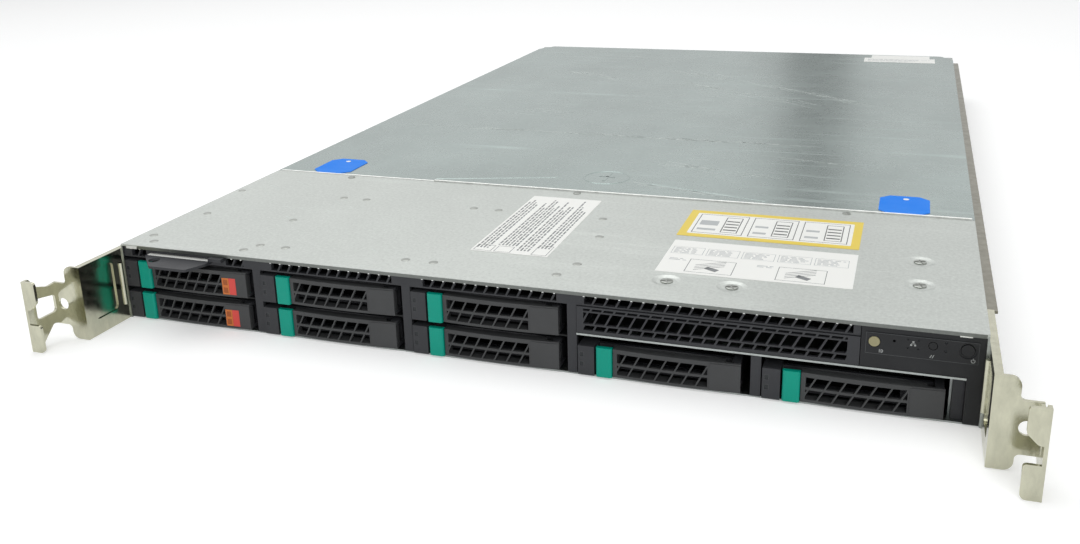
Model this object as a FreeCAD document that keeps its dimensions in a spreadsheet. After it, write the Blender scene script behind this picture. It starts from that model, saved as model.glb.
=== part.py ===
"""Rack server, one rack unit high, as a parametric assembly of its separate pieces.

X runs to the right seen from the front, Y to the rear and Z up. The origin is the middle of the
chassis underside. Lengths are millimetres. Every driving size is a cell of the sheet Sizes; texts
such as "rear_plane - sheet" below are formulas over those cells, bound to the pieces.
"""
import FreeCAD, Part
import Sketcher
import math
import os
import re

SIZES = (
    # name, value, what it is
    ("chassis_width", 438.0, "outside of the two side walls"),
    ("chassis_depth", 712.0, "front plane to rear wall"),
    ("chassis_height", 43.0, "underside to top sheet"),
    ("sheet", 0.8, "chassis sheet steel"),
    ("cover_sheet", 1.0, "top panel and cover sheet steel"),
    ("cutter_over", 1.0, "how far a cutter runs past what it cuts"),
    ("flange_width", 9.0, "inward flange along the top of each side wall"),
    ("floor_setback", 1.5, "floor edge behind the front plane"),
    ("front_panel_depth", 156.6, "fixed top panel, front to seam"),
    ("seam", 0.4, "gap between top panel and rear cover"),
    ("lip_cut", 11.0, "left end of the front lip, from the chassis side"),
    ("lip_height", 1.9, "front lip of the top panel"),
    ("tongue_depth", 11.0, "tongue of the top panel under the cover"),
    ("tongue_inset", 4.0, "tongue of the top panel to the side flange"),
    ("corner_cut", 11.0, "cut rear corners of the cover, along X"),
    ("corner_cut_depth", 21.0, "cut rear corners of the cover, along Y"),
    ("corner_round", 3.0, "rounding of the cut corners"),
    ("guide_start", 15.0, "cover guide behind the seam"),
    ("guide_end", 25.0, "cover guide before the rear plane"),
    ("cover_guide", 1.5, "guide flange under the cover"),
    ("cover_guide_gap", 1.5, "guide flange to the chassis flange"),
    ("standoff_radius", 3.0, "standoff under the main board"),
    ("standoff_outer", 0.93, "outer standoffs, share of the board's half width"),
    ("standoff_inner", 0.3, "inner standoffs, share of the board's half width"),
    ("standoff_front", -135.0, "front row of standoffs from the middle"),
    ("standoff_middle", 10.0, "middle row of standoffs from the middle"),
    ("standoff_rear", 150.0, "rear row of standoffs from the middle"),
    ("card_inset", 13.0, "chassis side to the expansion card slot"),
    ("card_width", 108.0, "expansion card slot"),
    ("card_level", 22.5, "underside of the expansion card slot"),
    ("card_slot", 14.0, "expansion card slot"),
    ("card_margin", 4.0, "expansion card to the left side of its slot"),
    ("card_bracket_margin", 0.5, "card bracket inside its slot"),
    ("card_riser", 6.0, "riser from the right side of the card slot"),
    ("card_front", 150.0, "expansion card before the rear plane"),
    ("riser_rear", 60.0, "riser before the rear plane"),
    ("riser_top", 9.0, "riser above the card's underside"),
    ("card_step", 1.5, "expansion card above the underside of its slot"),
    ("card_bracket", 1.0, "sheet of the card bracket"),
    ("card_bracket_drop", 3.0, "card bracket below its slot"),
    ("card_bracket_rise", 2.0, "card bracket above its slot"),
    ("card_chip", 24.0, "chip on the expansion card, square"),
    ("card_chip_left", 40.0, "chip on the expansion card, from the left of the slot"),
    ("card_chip_front", 110.0, "chip on the expansion card, before the rear plane"),
    ("card_chip_height", 4.0, "chip on the expansion card"),
    ("card_slits", 12, "slits in the card bracket"),
    ("card_slit_start", 8.0, "first slit from the left of the slot"),
    ("card_slit_pitch", 8.0, "slit to slit"),
    ("card_slit_width", 5.0, "slit in the card bracket"),
    ("card_slit_low", 5.0, "slit above the underside of the slot"),
    ("card_slit_height", 6.0, "slit in the card bracket"),
    ("rear_vent_pitch", 7.4, "rear vent to rear vent"),
    ("rear_vent_width", 4.6, "rear vent"),
    ("rear_vent_bottom", 21.0, "rear vent"),
    ("rear_vent_height", 15.0, "rear vent"),
    ("rear_vent_start", 8.0, "card slot to the first rear vent"),
    ("pad_width", 27.5, "touch pad on the cover"),
    ("pad_length", 35.0, "touch pad on the cover"),
    ("pad_thickness", 0.3, "touch pad on the cover"),
    ("pad_setback", 1.6, "touch pad behind the cover's edge"),
    ("pad_clip", 5.5, "clipped corner of a touch pad"),
    ("pad_hole", 1.1, "radius of the mark in a touch pad"),
    ("pad_hole_inset", 6.0, "mark to the rear of its touch pad"),
    ("pad_edge", 23.0, "chassis side to touch pad"),
    ("rivet_head", 2.4, "radius of a rivet head"),
    ("rivet_height", 0.4, "height of a rivet head"),
    ("rivet_top", 0.6, "top of a rivet head, share of its radius"),
    ("panel_screw", 3.2, "radius of a screw head in a dimple"),
    ("panel_screw_top", 2.4, "radius of the top of that screw head"),
    ("side_screw", 2.8, "radius of a bracket's screw head"),
    ("side_screw_height", 1.0, "screw head on the chassis side"),
    ("side_screw_start", 12.0, "first screw of a bracket behind the front plane"),
    ("side_screw_pitch", 14.0, "screw to screw of a bracket"),
    ("rail_rivet", 3.0, "radius of a slide rail's rivet head"),
    ("rail_rivet_start", 40.0, "first rivet of a slide rail behind its bracket"),
    ("rail_rivet_pitch", 180.0, "rivet to rivet of a slide rail"),
    ("post_rivet_front", 18.2, "front rivets of a bay post behind the front plane"),
    ("post_rivet_rear", 108.8, "rear rivets of a bay post behind the front plane"),
    ("post_rivet_side", 7.8, "rivet of a bay post to the post's middle"),
    ("dimple_radius", 7.2, "radius of a screw dimple"),
    ("dimple_floor", 5.0, "radius of the floor of a dimple"),
    ("dimple_depth", 0.6, "depth of a screw dimple"),
    ("last_bay_margin", 14.4, "last drive carrier from the right side"),
    ("row_pitch", 18.0, "lower to upper drive row"),
    ("bay_gap", 0.2, "carrier to floor and to side wall"),
    ("bay_spacing", 8.9, "drive carrier to the carrier beside it"),
    ("carrier_height", 14.8, "drive carrier"),
    ("carrier_depth", 122.0, "drive carrier, front plane to back"),
    ("carrier_sheet", 1.2, "carrier floor and rails"),
    ("carrier_bridge", 2.0, "cross wall of a carrier behind its latch"),
    ("bridge_gap", 0.5, "pushed latch to the cross wall"),
    ("carrier_lift", 0.4, "underside of a carrier floor"),
    ("rail_drop", 2.0, "carrier rails below the carrier top"),
    ("airway_edge", 2.0, "rim around the airway of a carrier"),
    ("light_left", 1.1, "light window from the left of its ledge"),
    ("light_width", 1.7, "light window of a ledge"),
    ("light_height", 2.2, "light window of a ledge"),
    ("light_depth", 0.5, "light window of a ledge"),
    ("light_low", 5.6, "lower light window"),
    ("light_high", 10.4, "upper light window"),
    ("ledge_width", 8.0, "light ledge at the left of a carrier"),
    ("latch_width", 7.8, "release latch of a carrier"),
    ("latch_depth", 8.0, "release latch, front plane to back"),
    ("latch_face", 2.6, "front plate of a release latch"),
    ("latch_proud", 0.6, "front of a release latch before the front plane"),
    ("latch_gap", 0.9, "light ledge to release latch"),
    ("latch_round", 1.2, "rounded sides of a release latch"),
    ("latch_rise", 0.1, "release latch above its carrier"),
    ("latch_inset", 0.4, "body of a latch inside its front plate"),
    ("latch_body_low", 2.0, "body of a latch above the carrier's underside"),
    ("latch_body_drop", 3.0, "body of a latch below the carrier's top"),
    ("latch_travel", 1.5, "push of a release latch"),
    ("lever_gap", 0.3, "lever and latch to their neighbours"),
    ("lever_bow", 1.2, "how far the middle of a lever stands forward"),
    ("lever_end", 0.8, "ends of a lever behind the front plane"),
    ("lever_depth", 5.0, "back of a lever behind the front plane"),
    ("lever_height", 14.2, "lever"),
    ("lever_lift", 0.3, "underside of a lever"),
    ("lever_side", 2.0, "lever frame left of its grille"),
    ("lever_skin", 1.4, "lever face behind the front plane"),
    ("web_front", 1.5, "web of a lever knuckle behind the front plane"),
    ("hinge_room", 5.0, "room in the back of a lever beside its pin"),
    ("hinge_skin", 2.0, "lever face beside its pin"),
    ("lever_right", 0.7, "lever to the right of its carrier"),
    ("pad_margin", 0.75, "finger pad to the top and bottom of its lever"),
    ("pad_gap", 1.0, "grille to finger pad"),
    ("grille_rail", 1.2, "level rail in the middle of a lever's grille"),
    ("grille_start", 0.62, "first slanted bar, in pitches"),
    ("lever_sill", 1.3, "lever frame below its grille"),
    ("lever_head", 2.1, "lever frame above its grille"),
    ("grille_length", 42.8, "grille of a lever"),
    ("cell_pitch", 6.43, "grille cell to grille cell"),
    ("cell_bar", 0.8, "slanted bar of a grille"),
    ("cell_lean", 0.52, "sideways lean of a bar for each unit of its height"),
    ("pad_proud", 0.35, "finger pad of a lever"),
    ("lug_level", 1.9, "top of the lower carrier lug"),
    ("pin_radius", 1.0, "lever hinge pin"),
    ("pin_clearance", 0.06, "running clearance of a pin, on the radius"),
    ("knuckle_radius", 1.9, "lever knuckle and carrier lugs"),
    ("pin_inset", 3.0, "hinge pin from the right of the carrier"),
    ("pin_setback", 4.2, "hinge pin behind the front plane"),
    ("drive_spacing", 7.55, "width of a carrier that its drive leaves free"),
    ("drive_length", 100.2, "disk drive"),
    ("drive_height", 9.5, "disk drive"),
    ("drive_setback", 18.0, "disk drive behind the front plane"),
    ("drive_plug_left", 12.0, "drive connector from the left of its drive"),
    ("drive_plug_width", 36.0, "drive connector"),
    ("drive_plug_depth", 2.0, "drive connector"),
    ("drive_plug_low", 2.0, "drive connector above the drive's underside"),
    ("drive_plug_high", 6.0, "drive connector above the drive's underside"),
    ("post_width", 4.6, "front post between two drive columns"),
    ("post_gap", 0.7, "post to the carrier at its right"),
    ("frame_sheet", 2.5, "front frame moulding"),
    ("frame_setback", 1.1, "front frame behind the front plane"),
    ("rail_bottom", 35.9, "underside of the vent rail"),
    ("vent_bottom", 36.7, "lower edge of the vents"),
    ("vent_top", 41.0, "upper edge of the vents"),
    ("vent_pitch", 5.7, "vent cell to vent cell"),
    ("vent_bar", 1.0, "slanted bar of a vent"),
    ("vent_end_left", 6.5, "vents from the left of a drive column"),
    ("vent_end_right", 1.6, "vents to the right of a carrier"),
    ("vent_first", 5.0, "first vents from the left of the first column"),
    ("vent_last_left", 3.1, "last vents from the left of their column"),
    ("vent_last_right", 3.4, "last vents to the control panel"),
    ("vent_tag_gap", 2.0, "vents to the information tag"),
    ("catch_width", 8.0, "catch beside the information tag"),
    ("catch_reach", 3.0, "catch before the front plane"),
    ("cage_depth", 128.0, "drive cage, front plane to back"),
    ("shelf_level", 21.2, "underside of the shelf over the low bays"),
    ("shelf_sheet", 0.9, "shelf over the low bays"),
    ("shelf_tab", 5.0, "tab under the shelf edge"),
    ("shelf_tab_height", 2.0, "tab under the shelf edge"),
    ("shelf_tab_setback", 4.5, "shelf tabs behind the front plane"),
    ("shelf_tab_start", 4.0, "first shelf tab from the left of its column"),
    ("shelf_leg_setback", 9.0, "shelf leg behind the front plane"),
    ("blank_setback", 4.0, "end blank behind the front plane"),
    ("blank_sheet", 2.0, "end blank"),
    ("blank_arm", 1.2, "arm of the end blank"),
    ("blank_depth", 30.0, "arm of the end blank, back from the front plane"),
    ("blank_gap", 1.9, "end blank to the shelf"),
    ("low_bay_inset", 13.2, "inner wall right of the last bay, from the chassis side"),
    ("panel_inset", 50.6, "left side of the control panel, from the chassis side"),
    ("leg_inset", 7.4, "left side of the control panel's leg, from the chassis side"),
    ("panel_wall", 2.0, "control panel moulding"),
    ("panel_depth", 38.0, "control panel moulding, front to back"),
    ("plate_inset", 48.6, "left side of the legend plate, from the chassis side"),
    ("plate_edge", 3.6, "right side of the legend plate, from the chassis side"),
    ("plate_bottom", 28.9, "legend plate"),
    ("plate_top", 38.5, "legend plate"),
    ("plate_proud", 0.4, "legend plate"),
    ("panel_arm", 1.6, "side arm of the control panel"),
    ("control_setback", 12.0, "control board behind the front plane"),
    ("boss_radius", 1.6, "boss that carries the control board"),
    ("boss_drop", 2.5, "boss below the legend plate"),
    ("boss_left", 8.0, "left boss from the left of the legend plate"),
    ("boss_right", 12.0, "right boss from the right of the legend plate"),
    ("power_ring", 1.0, "ring groove round the power button"),
    ("id_across", 3.4, "identify button from the left of the legend plate"),
    ("id_level", 5.5, "identify button above the legend plate's foot"),
    ("reset_across", 27.0, "reset button from the left of the legend plate"),
    ("reset_level", 6.3, "reset button above the legend plate's foot"),
    ("power_across", 40.7, "power button from the left of the legend plate"),
    ("power_level", 5.8, "power button above the legend plate's foot"),
    ("light_radius", 0.6, "large status light"),
    ("small_light_radius", 0.45, "small status light"),
    ("button_gap", 0.25, "button to its hole, on the radius"),
    ("button_flange", 1.0, "flange that keeps a button in"),
    ("button_lip", 0.8, "flange of a button beyond its cap"),
    ("button_slack", 0.1, "flange of a button to the wall before it"),
    ("stem_radius", 1.0, "stem behind a button"),
    ("stem_length", 4.6, "stem behind a button"),
    ("switch_size", 4.4, "switch behind a button, square"),
    ("switch_height", 3.9, "switch behind a button"),
    ("control_inset", 1.8, "control board inside the panel's arms"),
    ("control_lift", 0.4, "control board above the shelf"),
    ("control_rise", 1.5, "control board above the legend plate"),
    ("id_radius", 2.3, "identify button"),
    ("reset_radius", 1.65, "reset button"),
    ("power_radius", 2.65, "power button"),
    ("filler_setback", 0.4, "optical bay filler behind the front plane"),
    ("filler_sheet", 1.8, "optical bay filler"),
    ("filler_depth", 24.0, "side arms of the optical bay filler"),
    ("filler_arm", 1.6, "side arm of the optical bay filler"),
    ("filler_frame_left", 3.2, "filler frame left of its grille"),
    ("filler_frame_right", 5.2, "filler frame right of its grille"),
    ("filler_row_low", 1.7, "lowest grille row above the filler's underside"),
    ("filler_row_height", 2.5, "lowest grille row"),
    ("filler_middle_low", 5.0, "middle grille row above the filler's underside"),
    ("filler_middle_height", 5.7, "middle grille row"),
    ("filler_top_low", 11.5, "top grille row above the filler's underside"),
    ("filler_top_rim", 0.9, "filler frame above its top row"),
    ("fit_gap", 0.3, "plastic panel to its opening"),
    ("tag_left", 17.5, "information tag from the chassis side"),
    ("tag_width", 40.5, "information tag"),
    ("tag_sheet", 1.4, "information tag"),
    ("tag_level", 37.5, "underside of the information tag"),
    ("tag_drawn", 16.0, "how far the tag stands out"),
    ("tag_length", 66.0, "information tag"),
    ("tag_clip_left", 13.0, "slanted left corner of the tag, along X"),
    ("tag_clip_left_depth", 13.6, "slanted left corner of the tag, along Y"),
    ("tag_clip_right", 5.0, "slanted right corner of the tag, along X"),
    ("tag_clip_right_depth", 10.5, "slanted right corner of the tag, along Y"),
    ("tag_round", 1.5, "rounded front corners of the tag"),
    ("finger_hole", 3.1, "radius of the tag's finger hole"),
    ("finger_across", 9.8, "finger hole from the left of the tag"),
    ("finger_back", 8.7, "finger hole behind the front of the tag"),
    ("ear_sheet", 1.5, "rack bracket steel"),
    ("ear_reach", 32.5, "rack bracket plate before the front plane"),
    ("ear_back", 34.0, "rack bracket along the chassis side"),
    ("ear_width", 10.1, "bracket plate from the chassis side outward"),
    ("ear_span", 465.1, "rack hole to rack hole"),
    ("ear_hole", 3.2, "radius of a rack hole"),
    ("ear_level", 19.4, "height of the rack holes"),
    ("ear_foot", 0.2, "underside of a bracket plate"),
    ("ear_height", 40.7, "top of a rack bracket"),
    ("ear_step_low", 7.8, "lower edge of the bracket's outer part"),
    ("ear_step_high", 31.0, "upper edge of the bracket's outer part"),
    ("ear_tab_low", 15.0, "top of the lower finger tab"),
    ("ear_tab_mid", 23.2, "underside of the upper finger tab"),
    ("ear_tab_top", 38.6, "top of the upper finger tab"),
    ("ear_round", 4.0, "rounded corners of the bracket plate"),
    ("ear_inner_round", 2.2, "rounded inner corners of the bracket plate"),
    ("neck_rise", 1.6, "foot of the flange's neck above the plate's step"),
    ("neck_drop", 0.4, "top of the neck below the plate's step"),
    ("neck_start", 3.5, "neck of the flange before the bracket plate"),
    ("neck_end", 5.0, "neck of the flange before the bracket plate"),
    ("flange_foot", 5.0, "lower flange behind the finger tab"),
    ("flange_head", 3.5, "upper flange behind the finger tab"),
    ("flange_shoulder", 8.0, "shoulder of the flange behind the finger tab"),
    ("flange_shoulder_rise", 2.0, "shoulder of the flange above the plate's step"),
    ("tab_slant", 4.5, "slanted foot of the upper finger tab"),
    ("tab_round", 2.5, "rounded corners of the lower finger tab"),
    ("tab_corner", 1.5, "rounded corner of the upper finger tab"),
    ("press_depth", 0.8, "pressed window of a bracket's side plate"),
    ("press_front", 25.5, "pressed window before the front plane, its front side"),
    ("press_rear", 8.0, "pressed window before the front plane, its rear side"),
    ("press_low", 8.5, "foot of the pressed window"),
    ("press_high", 36.0, "top of the pressed window"),
    ("press_wall", 1.5, "wall round the pressed window"),
    ("press_round", 3.0, "rounded corners of the pressed window"),
    ("ear_hem", 3.4, "outward hem along the top of a bracket"),
    ("bead_radius", 1.3, "stiffening bead of a bracket"),
    ("bead_front", 2.5, "stiffening bead before the front plane"),
    ("bead_low", 9.0, "foot of the stiffening bead"),
    ("bead_length", 24.0, "stiffening bead"),
    ("ear_flange", 3.8, "rack hole to the outer flange of its bracket"),
    ("window_rear", 1.2, "window of the flange before the bracket plate"),
    ("window_front", 5.5, "window of the flange behind the finger tabs"),
    ("window_low", 0.5, "foot of the window above the lower tab"),
    ("window_high", 3.8, "top of the window above the foot of the upper tab"),
    ("window_rear_high", 1.5, "rear top of the window above the foot of the upper tab"),
    ("window_round", 2.0, "rounded corners of the window"),
    ("ear_bow", 20.0, "finger tabs before the bracket plate"),
    ("tab_width", 7.9, "finger tab"),
    ("rail_width", 24.0, "inner slide rail"),
    ("rail_level", 14.5, "underside of the inner slide rail"),
    ("rail_depth", 5.4, "inner slide rail"),
    ("rail_sheet", 1.2, "inner slide rail"),
    ("rail_front_gap", 4.0, "slide rail behind its bracket"),
    ("rail_end", 12.0, "slide rail before the rear plane"),
    ("backplane_sheet", 1.6, "drive backplane"),
    ("backplane_gap", 2.0, "drive cage to backplane"),
    ("backplane_overhang", 8.0, "backplane beyond the main board"),
    ("backplane_foot", 2.0, "underside of the backplane"),
    ("backplane_drop", 1.0, "low backplane below the shelf"),
    ("socket_gap", 0.4, "drive connector to its socket"),
    ("socket_margin", 1.0, "drive socket round its connector"),
    ("airflow_sockets", 4, "power sockets on the backplane"),
    ("airflow_start", 18.0, "first power socket from the left of the main board"),
    ("airflow_width", 14.0, "power socket"),
    ("airflow_depth", 7.0, "power socket"),
    ("airflow_low", 6.0, "foot of a power socket"),
    ("airflow_high", 14.0, "top of a power socket"),
    ("fan_size", 39.6, "fan frame, square"),
    ("fan_depth", 38.0, "fan frame"),
    ("fan_bore", 18.6, "radius of a fan frame's bore"),
    ("fan_clearance", 0.3, "fan frame above the chassis floor"),
    ("strut_depth", 3.0, "struts of a fan frame, front to back"),
    ("strut_width", 2.4, "struts of a fan frame"),
    ("bearing_wall", 1.6, "wall of a fan's bearing tube"),
    ("bearing_length", 20.0, "bearing tube of a fan"),
    ("fan_margin", 12.0, "chassis width that the row of fans leaves free"),
    ("fan_setback", 164.0, "fans behind the front plane"),
    ("blade_gap", 0.6, "blade tip to bore"),
    ("hub_radius", 8.6, "fan rotor hub"),
    ("rotor_setback", 3.0, "fan rotor behind the front of its frame"),
    ("rotor_depth", 27.0, "fan rotor"),
    ("hub_wall", 1.2, "wall of a fan hub"),
    ("hub_cap", 3.0, "front of a fan hub"),
    ("shaft_length", 31.0, "fan shaft"),
    ("blades", 5, "blades of a fan"),
    ("blade_sheet", 1.2, "fan blade"),
    ("blade_chord", 22.0, "fan blade"),
    ("blade_pitch", 48.0, "twist of a fan blade in degrees"),
    ("blade_root", 0.8, "root of a fan blade inside its hub"),
    ("shaft_radius", 1.5, "fan shaft"),
    ("shaft_clearance", 0.05, "fan shaft in its bearing, on the radius"),
    ("board_sheet", 1.6, "main circuit board"),
    ("board_level", 5.0, "underside of the main circuit board"),
    ("board_gap", 14.0, "chassis side to the main board"),
    ("board_front", 148.0, "main board, front edge before the middle"),
    ("board_rise", 40.0, "processors before the middle"),
    ("board_step", 166.0, "main board, step behind the middle"),
    ("board_supply_gap", 4.0, "main board to the supply bays"),
    ("board_rear", 16.0, "main board before the rear plane"),
    ("sink_size", 84.0, "processor heat sink, square"),
    ("sink_height", 26.0, "processor heat sink"),
    ("sink_share", 0.5073, "processor from the middle, share of half the main board"),
    ("processor", 44.0, "processor, square"),
    ("processor_height", 3.0, "processor"),
    ("sink_base", 4.0, "base of a heat sink"),
    ("sink_fins", 17, "fins of a heat sink"),
    ("fin_sheet", 0.9, "fin of a heat sink"),
    ("dimm_length", 133.4, "memory module"),
    ("dimm_height", 28.0, "memory module"),
    ("dimm_sheet", 1.3, "memory module"),
    ("dimm_pitch", 9.6, "memory module to memory module"),
    ("dimm_start", 8.0, "heat sink to the first memory module"),
    ("socket_width", 6.0, "memory socket"),
    ("socket_height", 3.0, "memory socket"),
    ("socket_end", 4.0, "memory socket beyond its module"),
    ("duct_level", 38.4, "underside of the air duct"),
    ("duct_sheet", 1.2, "air duct"),
    ("duct_setback", 18.0, "air duct behind the front of the main board"),
    ("duct_overhang", 8.0, "air duct behind the memory modules"),
    ("supply_width", 73.5, "power supply"),
    ("supply_height", 39.0, "power supply"),
    ("supply_length", 185.0, "power supply"),
    ("supply_gap", 0.5, "power supply to its bay"),
    ("supply_inset", 11.0, "power supply from the right side wall"),
    ("supply_pitch", 75.0, "power supply bay to the next one"),
    ("supply_proud", 1.5, "power supply behind the rear wall"),
    ("supply_fan", 27.0, "power supply's fan from its left side"),
    ("supply_fan_radius", 15.5, "power supply's fan opening"),
    ("supply_fan_depth", 2.5, "power supply's fan opening"),
    ("guard_sheet", 1.6, "fan guard"),
    ("guard_hub", 5.0, "radius of the guard's hub"),
    ("guard_ring", 9.0, "radius of the guard's first ring"),
    ("guard_pitch", 3.6, "guard ring to guard ring"),
    ("guard_wire", 1.1, "ring of the guard"),
    ("guard_reach", 1.0, "guard's spokes beyond the fan opening"),
    ("latch_room_left", 15.0, "hollow of the release tab from the supply's right side"),
    ("latch_room_right", 3.0, "hollow of the release tab from the supply's right side"),
    ("latch_room_depth", 6.0, "hollow of the release tab"),
    ("latch_room_low", 14.0, "hollow of the release tab below the supply's top"),
    ("latch_room_high", 5.0, "hollow of the release tab below the supply's top"),
    ("supply_latch_gap", 0.3, "release tab to its hollow, front"),
    ("supply_latch_start", 3.5, "release tab from the left of its hollow"),
    ("supply_latch_width", 7.5, "foot of the release tab"),
    ("supply_latch_tab", 4.0, "release tab"),
    ("supply_latch_reach", 9.0, "release tab behind the supply"),
    ("supply_latch_side", 0.8, "release tab to its hollow, above and below"),
    ("spare_sheet", 1.2, "blank of the empty supply bay"),
    ("blank_side", 1.0, "arm of the blank"),
    ("blank_reach", 40.0, "arm of the blank"),
    ("control_cable", 1.8, "radius of the control cable"),
    ("control_cable_bend", 5.0, "bend of the control cable"),
    ("control_cable_side", 2.4, "control cable from the panel's leg"),
    ("control_cable_rise", 8.0, "control cable above the shelf"),
    ("data_cable", 2.4, "radius of the data cable"),
    ("data_cable_bend", 6.0, "bend of the data cable"),
    ("data_cable_level", 10.0, "data cable where it leaves the backplane"),
    ("data_cable_left", 25.0, "data cable from the left of the main board"),
    ("data_cable_side", 6.0, "data cable beside the main board"),
    ("cable_rise", 7.4, "cables above the main board"),
    ("plug_inset", 8.0, "cable plugs from the board's side"),
    ("plug_setback", 14.0, "cable plugs behind the front of the main board"),
    ("handle_reach", 26.0, "power supply handle"),
    ("handle_bar", 4.0, "power supply handle"),
    ("handle_left", 2.5, "handle from the supply's left side"),
    ("handle_width", 5.6, "power supply handle"),
    ("handle_inset", 4.0, "handle from the supply's top and underside"),
    ("inlet_width", 24.4, "mains inlet"),
    ("inlet_height", 16.8, "mains inlet"),
    ("inlet_depth", 17.0, "mains inlet"),
    ("inlet_right", 3.5, "mains inlet from the supply's right side"),
    ("inlet_low", 3.0, "mains inlet above the supply's underside"),
    ("inlet_blade_width", 2.0, "blade of the mains inlet"),
    ("inlet_blade_height", 4.0, "blade of the mains inlet"),
    ("inlet_blade_pitch", 7.0, "blade of the mains inlet from its middle"),
    ("inlet_blade_high", 9.8, "outer blades above the inlet's underside"),
    ("inlet_blade_low", 5.4, "middle blade above the inlet's underside"),
    ("inlet_blade_back", 3.0, "blade of the mains inlet behind its opening"),
    ("inlet_blade_root", 1.0, "root of a blade in the floor of the inlet"),
    ("port_wall", 0.5, "shell of a port"),
    ("port_shell", 16.0, "shell of a port before the rear plane"),
    ("port_depth", 12.0, "hollow of a port before the rear plane"),
    ("port_proud", 0.6, "shell of a port behind the rear plane"),
)

PORTS = (
    # name, distance of its left side from the left wall, width and height of its hollow
    ("network_a", 98.0, 11.8, 8.2),
    ("network_b", 115.0, 11.8, 8.2),
    ("usb_a", 140.0, 12.6, 5.2),
    ("usb_b", 158.0, 12.6, 5.2),
    ("video", 182.0, 16.4, 7.8),
    ("serial", 208.0, 16.4, 7.8),
)

doc = FreeCAD.newDocument("rack_server")
sheet = doc.addObject("Spreadsheet::Sheet", "Sizes")
VALUES = {}
for row, (cell_name, cell_value, cell_note) in enumerate(SIZES, 1):
    sheet.set("A%d" % row, cell_name)
    sheet.set("B%d" % row, str(cell_value))
    sheet.set("C%d" % row, cell_note)
    sheet.setAlias("B%d" % row, cell_name)
    VALUES[cell_name] = cell_value
doc.recompute()

PLACES = {
    # places that many pieces share, each a formula over the sheet
    "front_plane": "(-chassis_depth / 2)",
    "rear_plane": "(chassis_depth / 2)",
    "side_plane": "(chassis_width / 2)",
    "wall_inside": "(chassis_width / 2 - sheet)",
    "top_inside": "(chassis_height - cover_sheet)",
    "seam_plane": "(front_panel_depth - chassis_depth / 2)",
    "first_bay": "(bay_gap + sheet - chassis_width / 2)",
    "first_row": "(sheet + bay_gap)",
    "low_bay_left": "(bay_gap + sheet - chassis_width / 2 + bay_pitch * 3)",
    "ear_plane": "(-chassis_depth / 2 - ear_reach)",
    "supply_left": "(chassis_width / 2 - sheet - supply_inset - supply_width)",
    "supply_back": "(chassis_depth / 2 + supply_proud)",
    "board_top": "(board_level + board_sheet)",
    "board_left": "(side_plane - board_gap)",
    "cover_guide_plane": "(side_plane - flange_width - cover_guide_gap)",
    "bay_pitch": "(carrier_width + bay_spacing)",
    "carrier_width": "((chassis_width - sheet - bay_gap - last_bay_margin - bay_spacing * 4) / 5)",
    "drive_width": "(carrier_width - drive_spacing)",
    "sink_offset": "(board_left * sink_share)",
    "card_left": "(card_inset - side_plane)",
    "fan_pitch": "((chassis_width - fan_margin) / 6)",
    "low_bay_wall": "(side_plane - low_bay_inset)",
    "panel_left": "(side_plane - panel_inset)",
    "leg_left": "(side_plane - leg_inset)",
    "plate_left": "(side_plane - plate_inset)",
    "plate_right": "(side_plane - plate_edge)",
}


def formula(text):
    """Write a size formula the way the document wants it, with each cell's full name."""
    for _ in range(3):
        text = re.sub(r"[A-Za-z_]\w*", lambda m: PLACES.get(m.group(0), m.group(0)), str(text))
    return re.sub(r"[A-Za-z_]\w*",
                  lambda m: "Sizes." + m.group(0) if m.group(0) in VALUES else m.group(0), text)


def bind(item, field, text):
    item.setExpression(field, formula(text))


def bind_place(item, x, y, z):
    for axis, text in (("x", x), ("y", y), ("z", z)):
        bind(item, "Placement.Base." + axis, text)


def block(name, x, y, z):
    """A box from its low and high formulas along each axis."""
    box = doc.addObject("Part::Box", name)
    for field, (low, high) in (("Length", x), ("Width", y), ("Height", z)):
        bind(box, field, "(%s) - (%s)" % (high, low))
    bind_place(box, x[0], y[0], z[0])
    return box


TURNS = {
    "x": FreeCAD.Rotation(FreeCAD.Vector(0, 1, 0), 90),
    "y": FreeCAD.Rotation(FreeCAD.Vector(1, 0, 0), -90),
    "z": FreeCAD.Rotation(),
}


def along(item, axis, place):
    """Stand an item that grows along Z on a place, growing along an axis."""
    item.Placement = FreeCAD.Placement(FreeCAD.Vector(), TURNS[axis])
    bind_place(item, *place)
    return item


def rod(name, axis, place, radius, length):
    item = doc.addObject("Part::Cylinder", name)
    bind(item, "Radius", radius)
    bind(item, "Height", length)
    return along(item, axis, place)


def cone(name, axis, place, radius, end_radius, length):
    item = doc.addObject("Part::Cone", name)
    bind(item, "Radius1", radius)
    bind(item, "Radius2", end_radius)
    bind(item, "Height", length)
    return along(item, axis, place)


def slanted_bar(name, x, y_back, z, width, depth, height, lean):
    """An upright bar whose top leans to the right by lean for each unit of height."""
    bar = doc.addObject("Part::Wedge", name)
    lean_out = "(%s) * (%s)" % (lean, height)
    for field, text in (("Xmin", 0), ("Xmax", width), ("Ymin", 0), ("Ymax", height),
                        ("Zmin", 0), ("Zmax", depth), ("Z2min", 0), ("Z2max", depth),
                        ("X2min", lean_out), ("X2max", "(%s) + %s" % (width, lean_out))):
        bind(bar, field, text)
    bar.Placement = FreeCAD.Placement(FreeCAD.Vector(), FreeCAD.Rotation(FreeCAD.Vector(1, 0, 0), 90))
    bind_place(bar, x, y_back, z)
    return bar


def join(name, *items):
    whole = doc.addObject("Part::MultiFuse", name)
    whole.Shapes = list(items)
    return whole


def group(name, *items):
    """Separate solids held as one object."""
    whole = doc.addObject("Part::Compound", name)
    whole.Links = list(items)
    return whole


def carve(name, base, *tools):
    cut = doc.addObject("Part::Cut", name)
    cut.Base = base
    cut.Tool = tools[0] if len(tools) == 1 else join(name + "_tools", *tools)
    return cut


def common(name, one, other):
    both = doc.addObject("Part::Common", name)
    both.Base = one
    both.Tool = other
    return both


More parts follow.
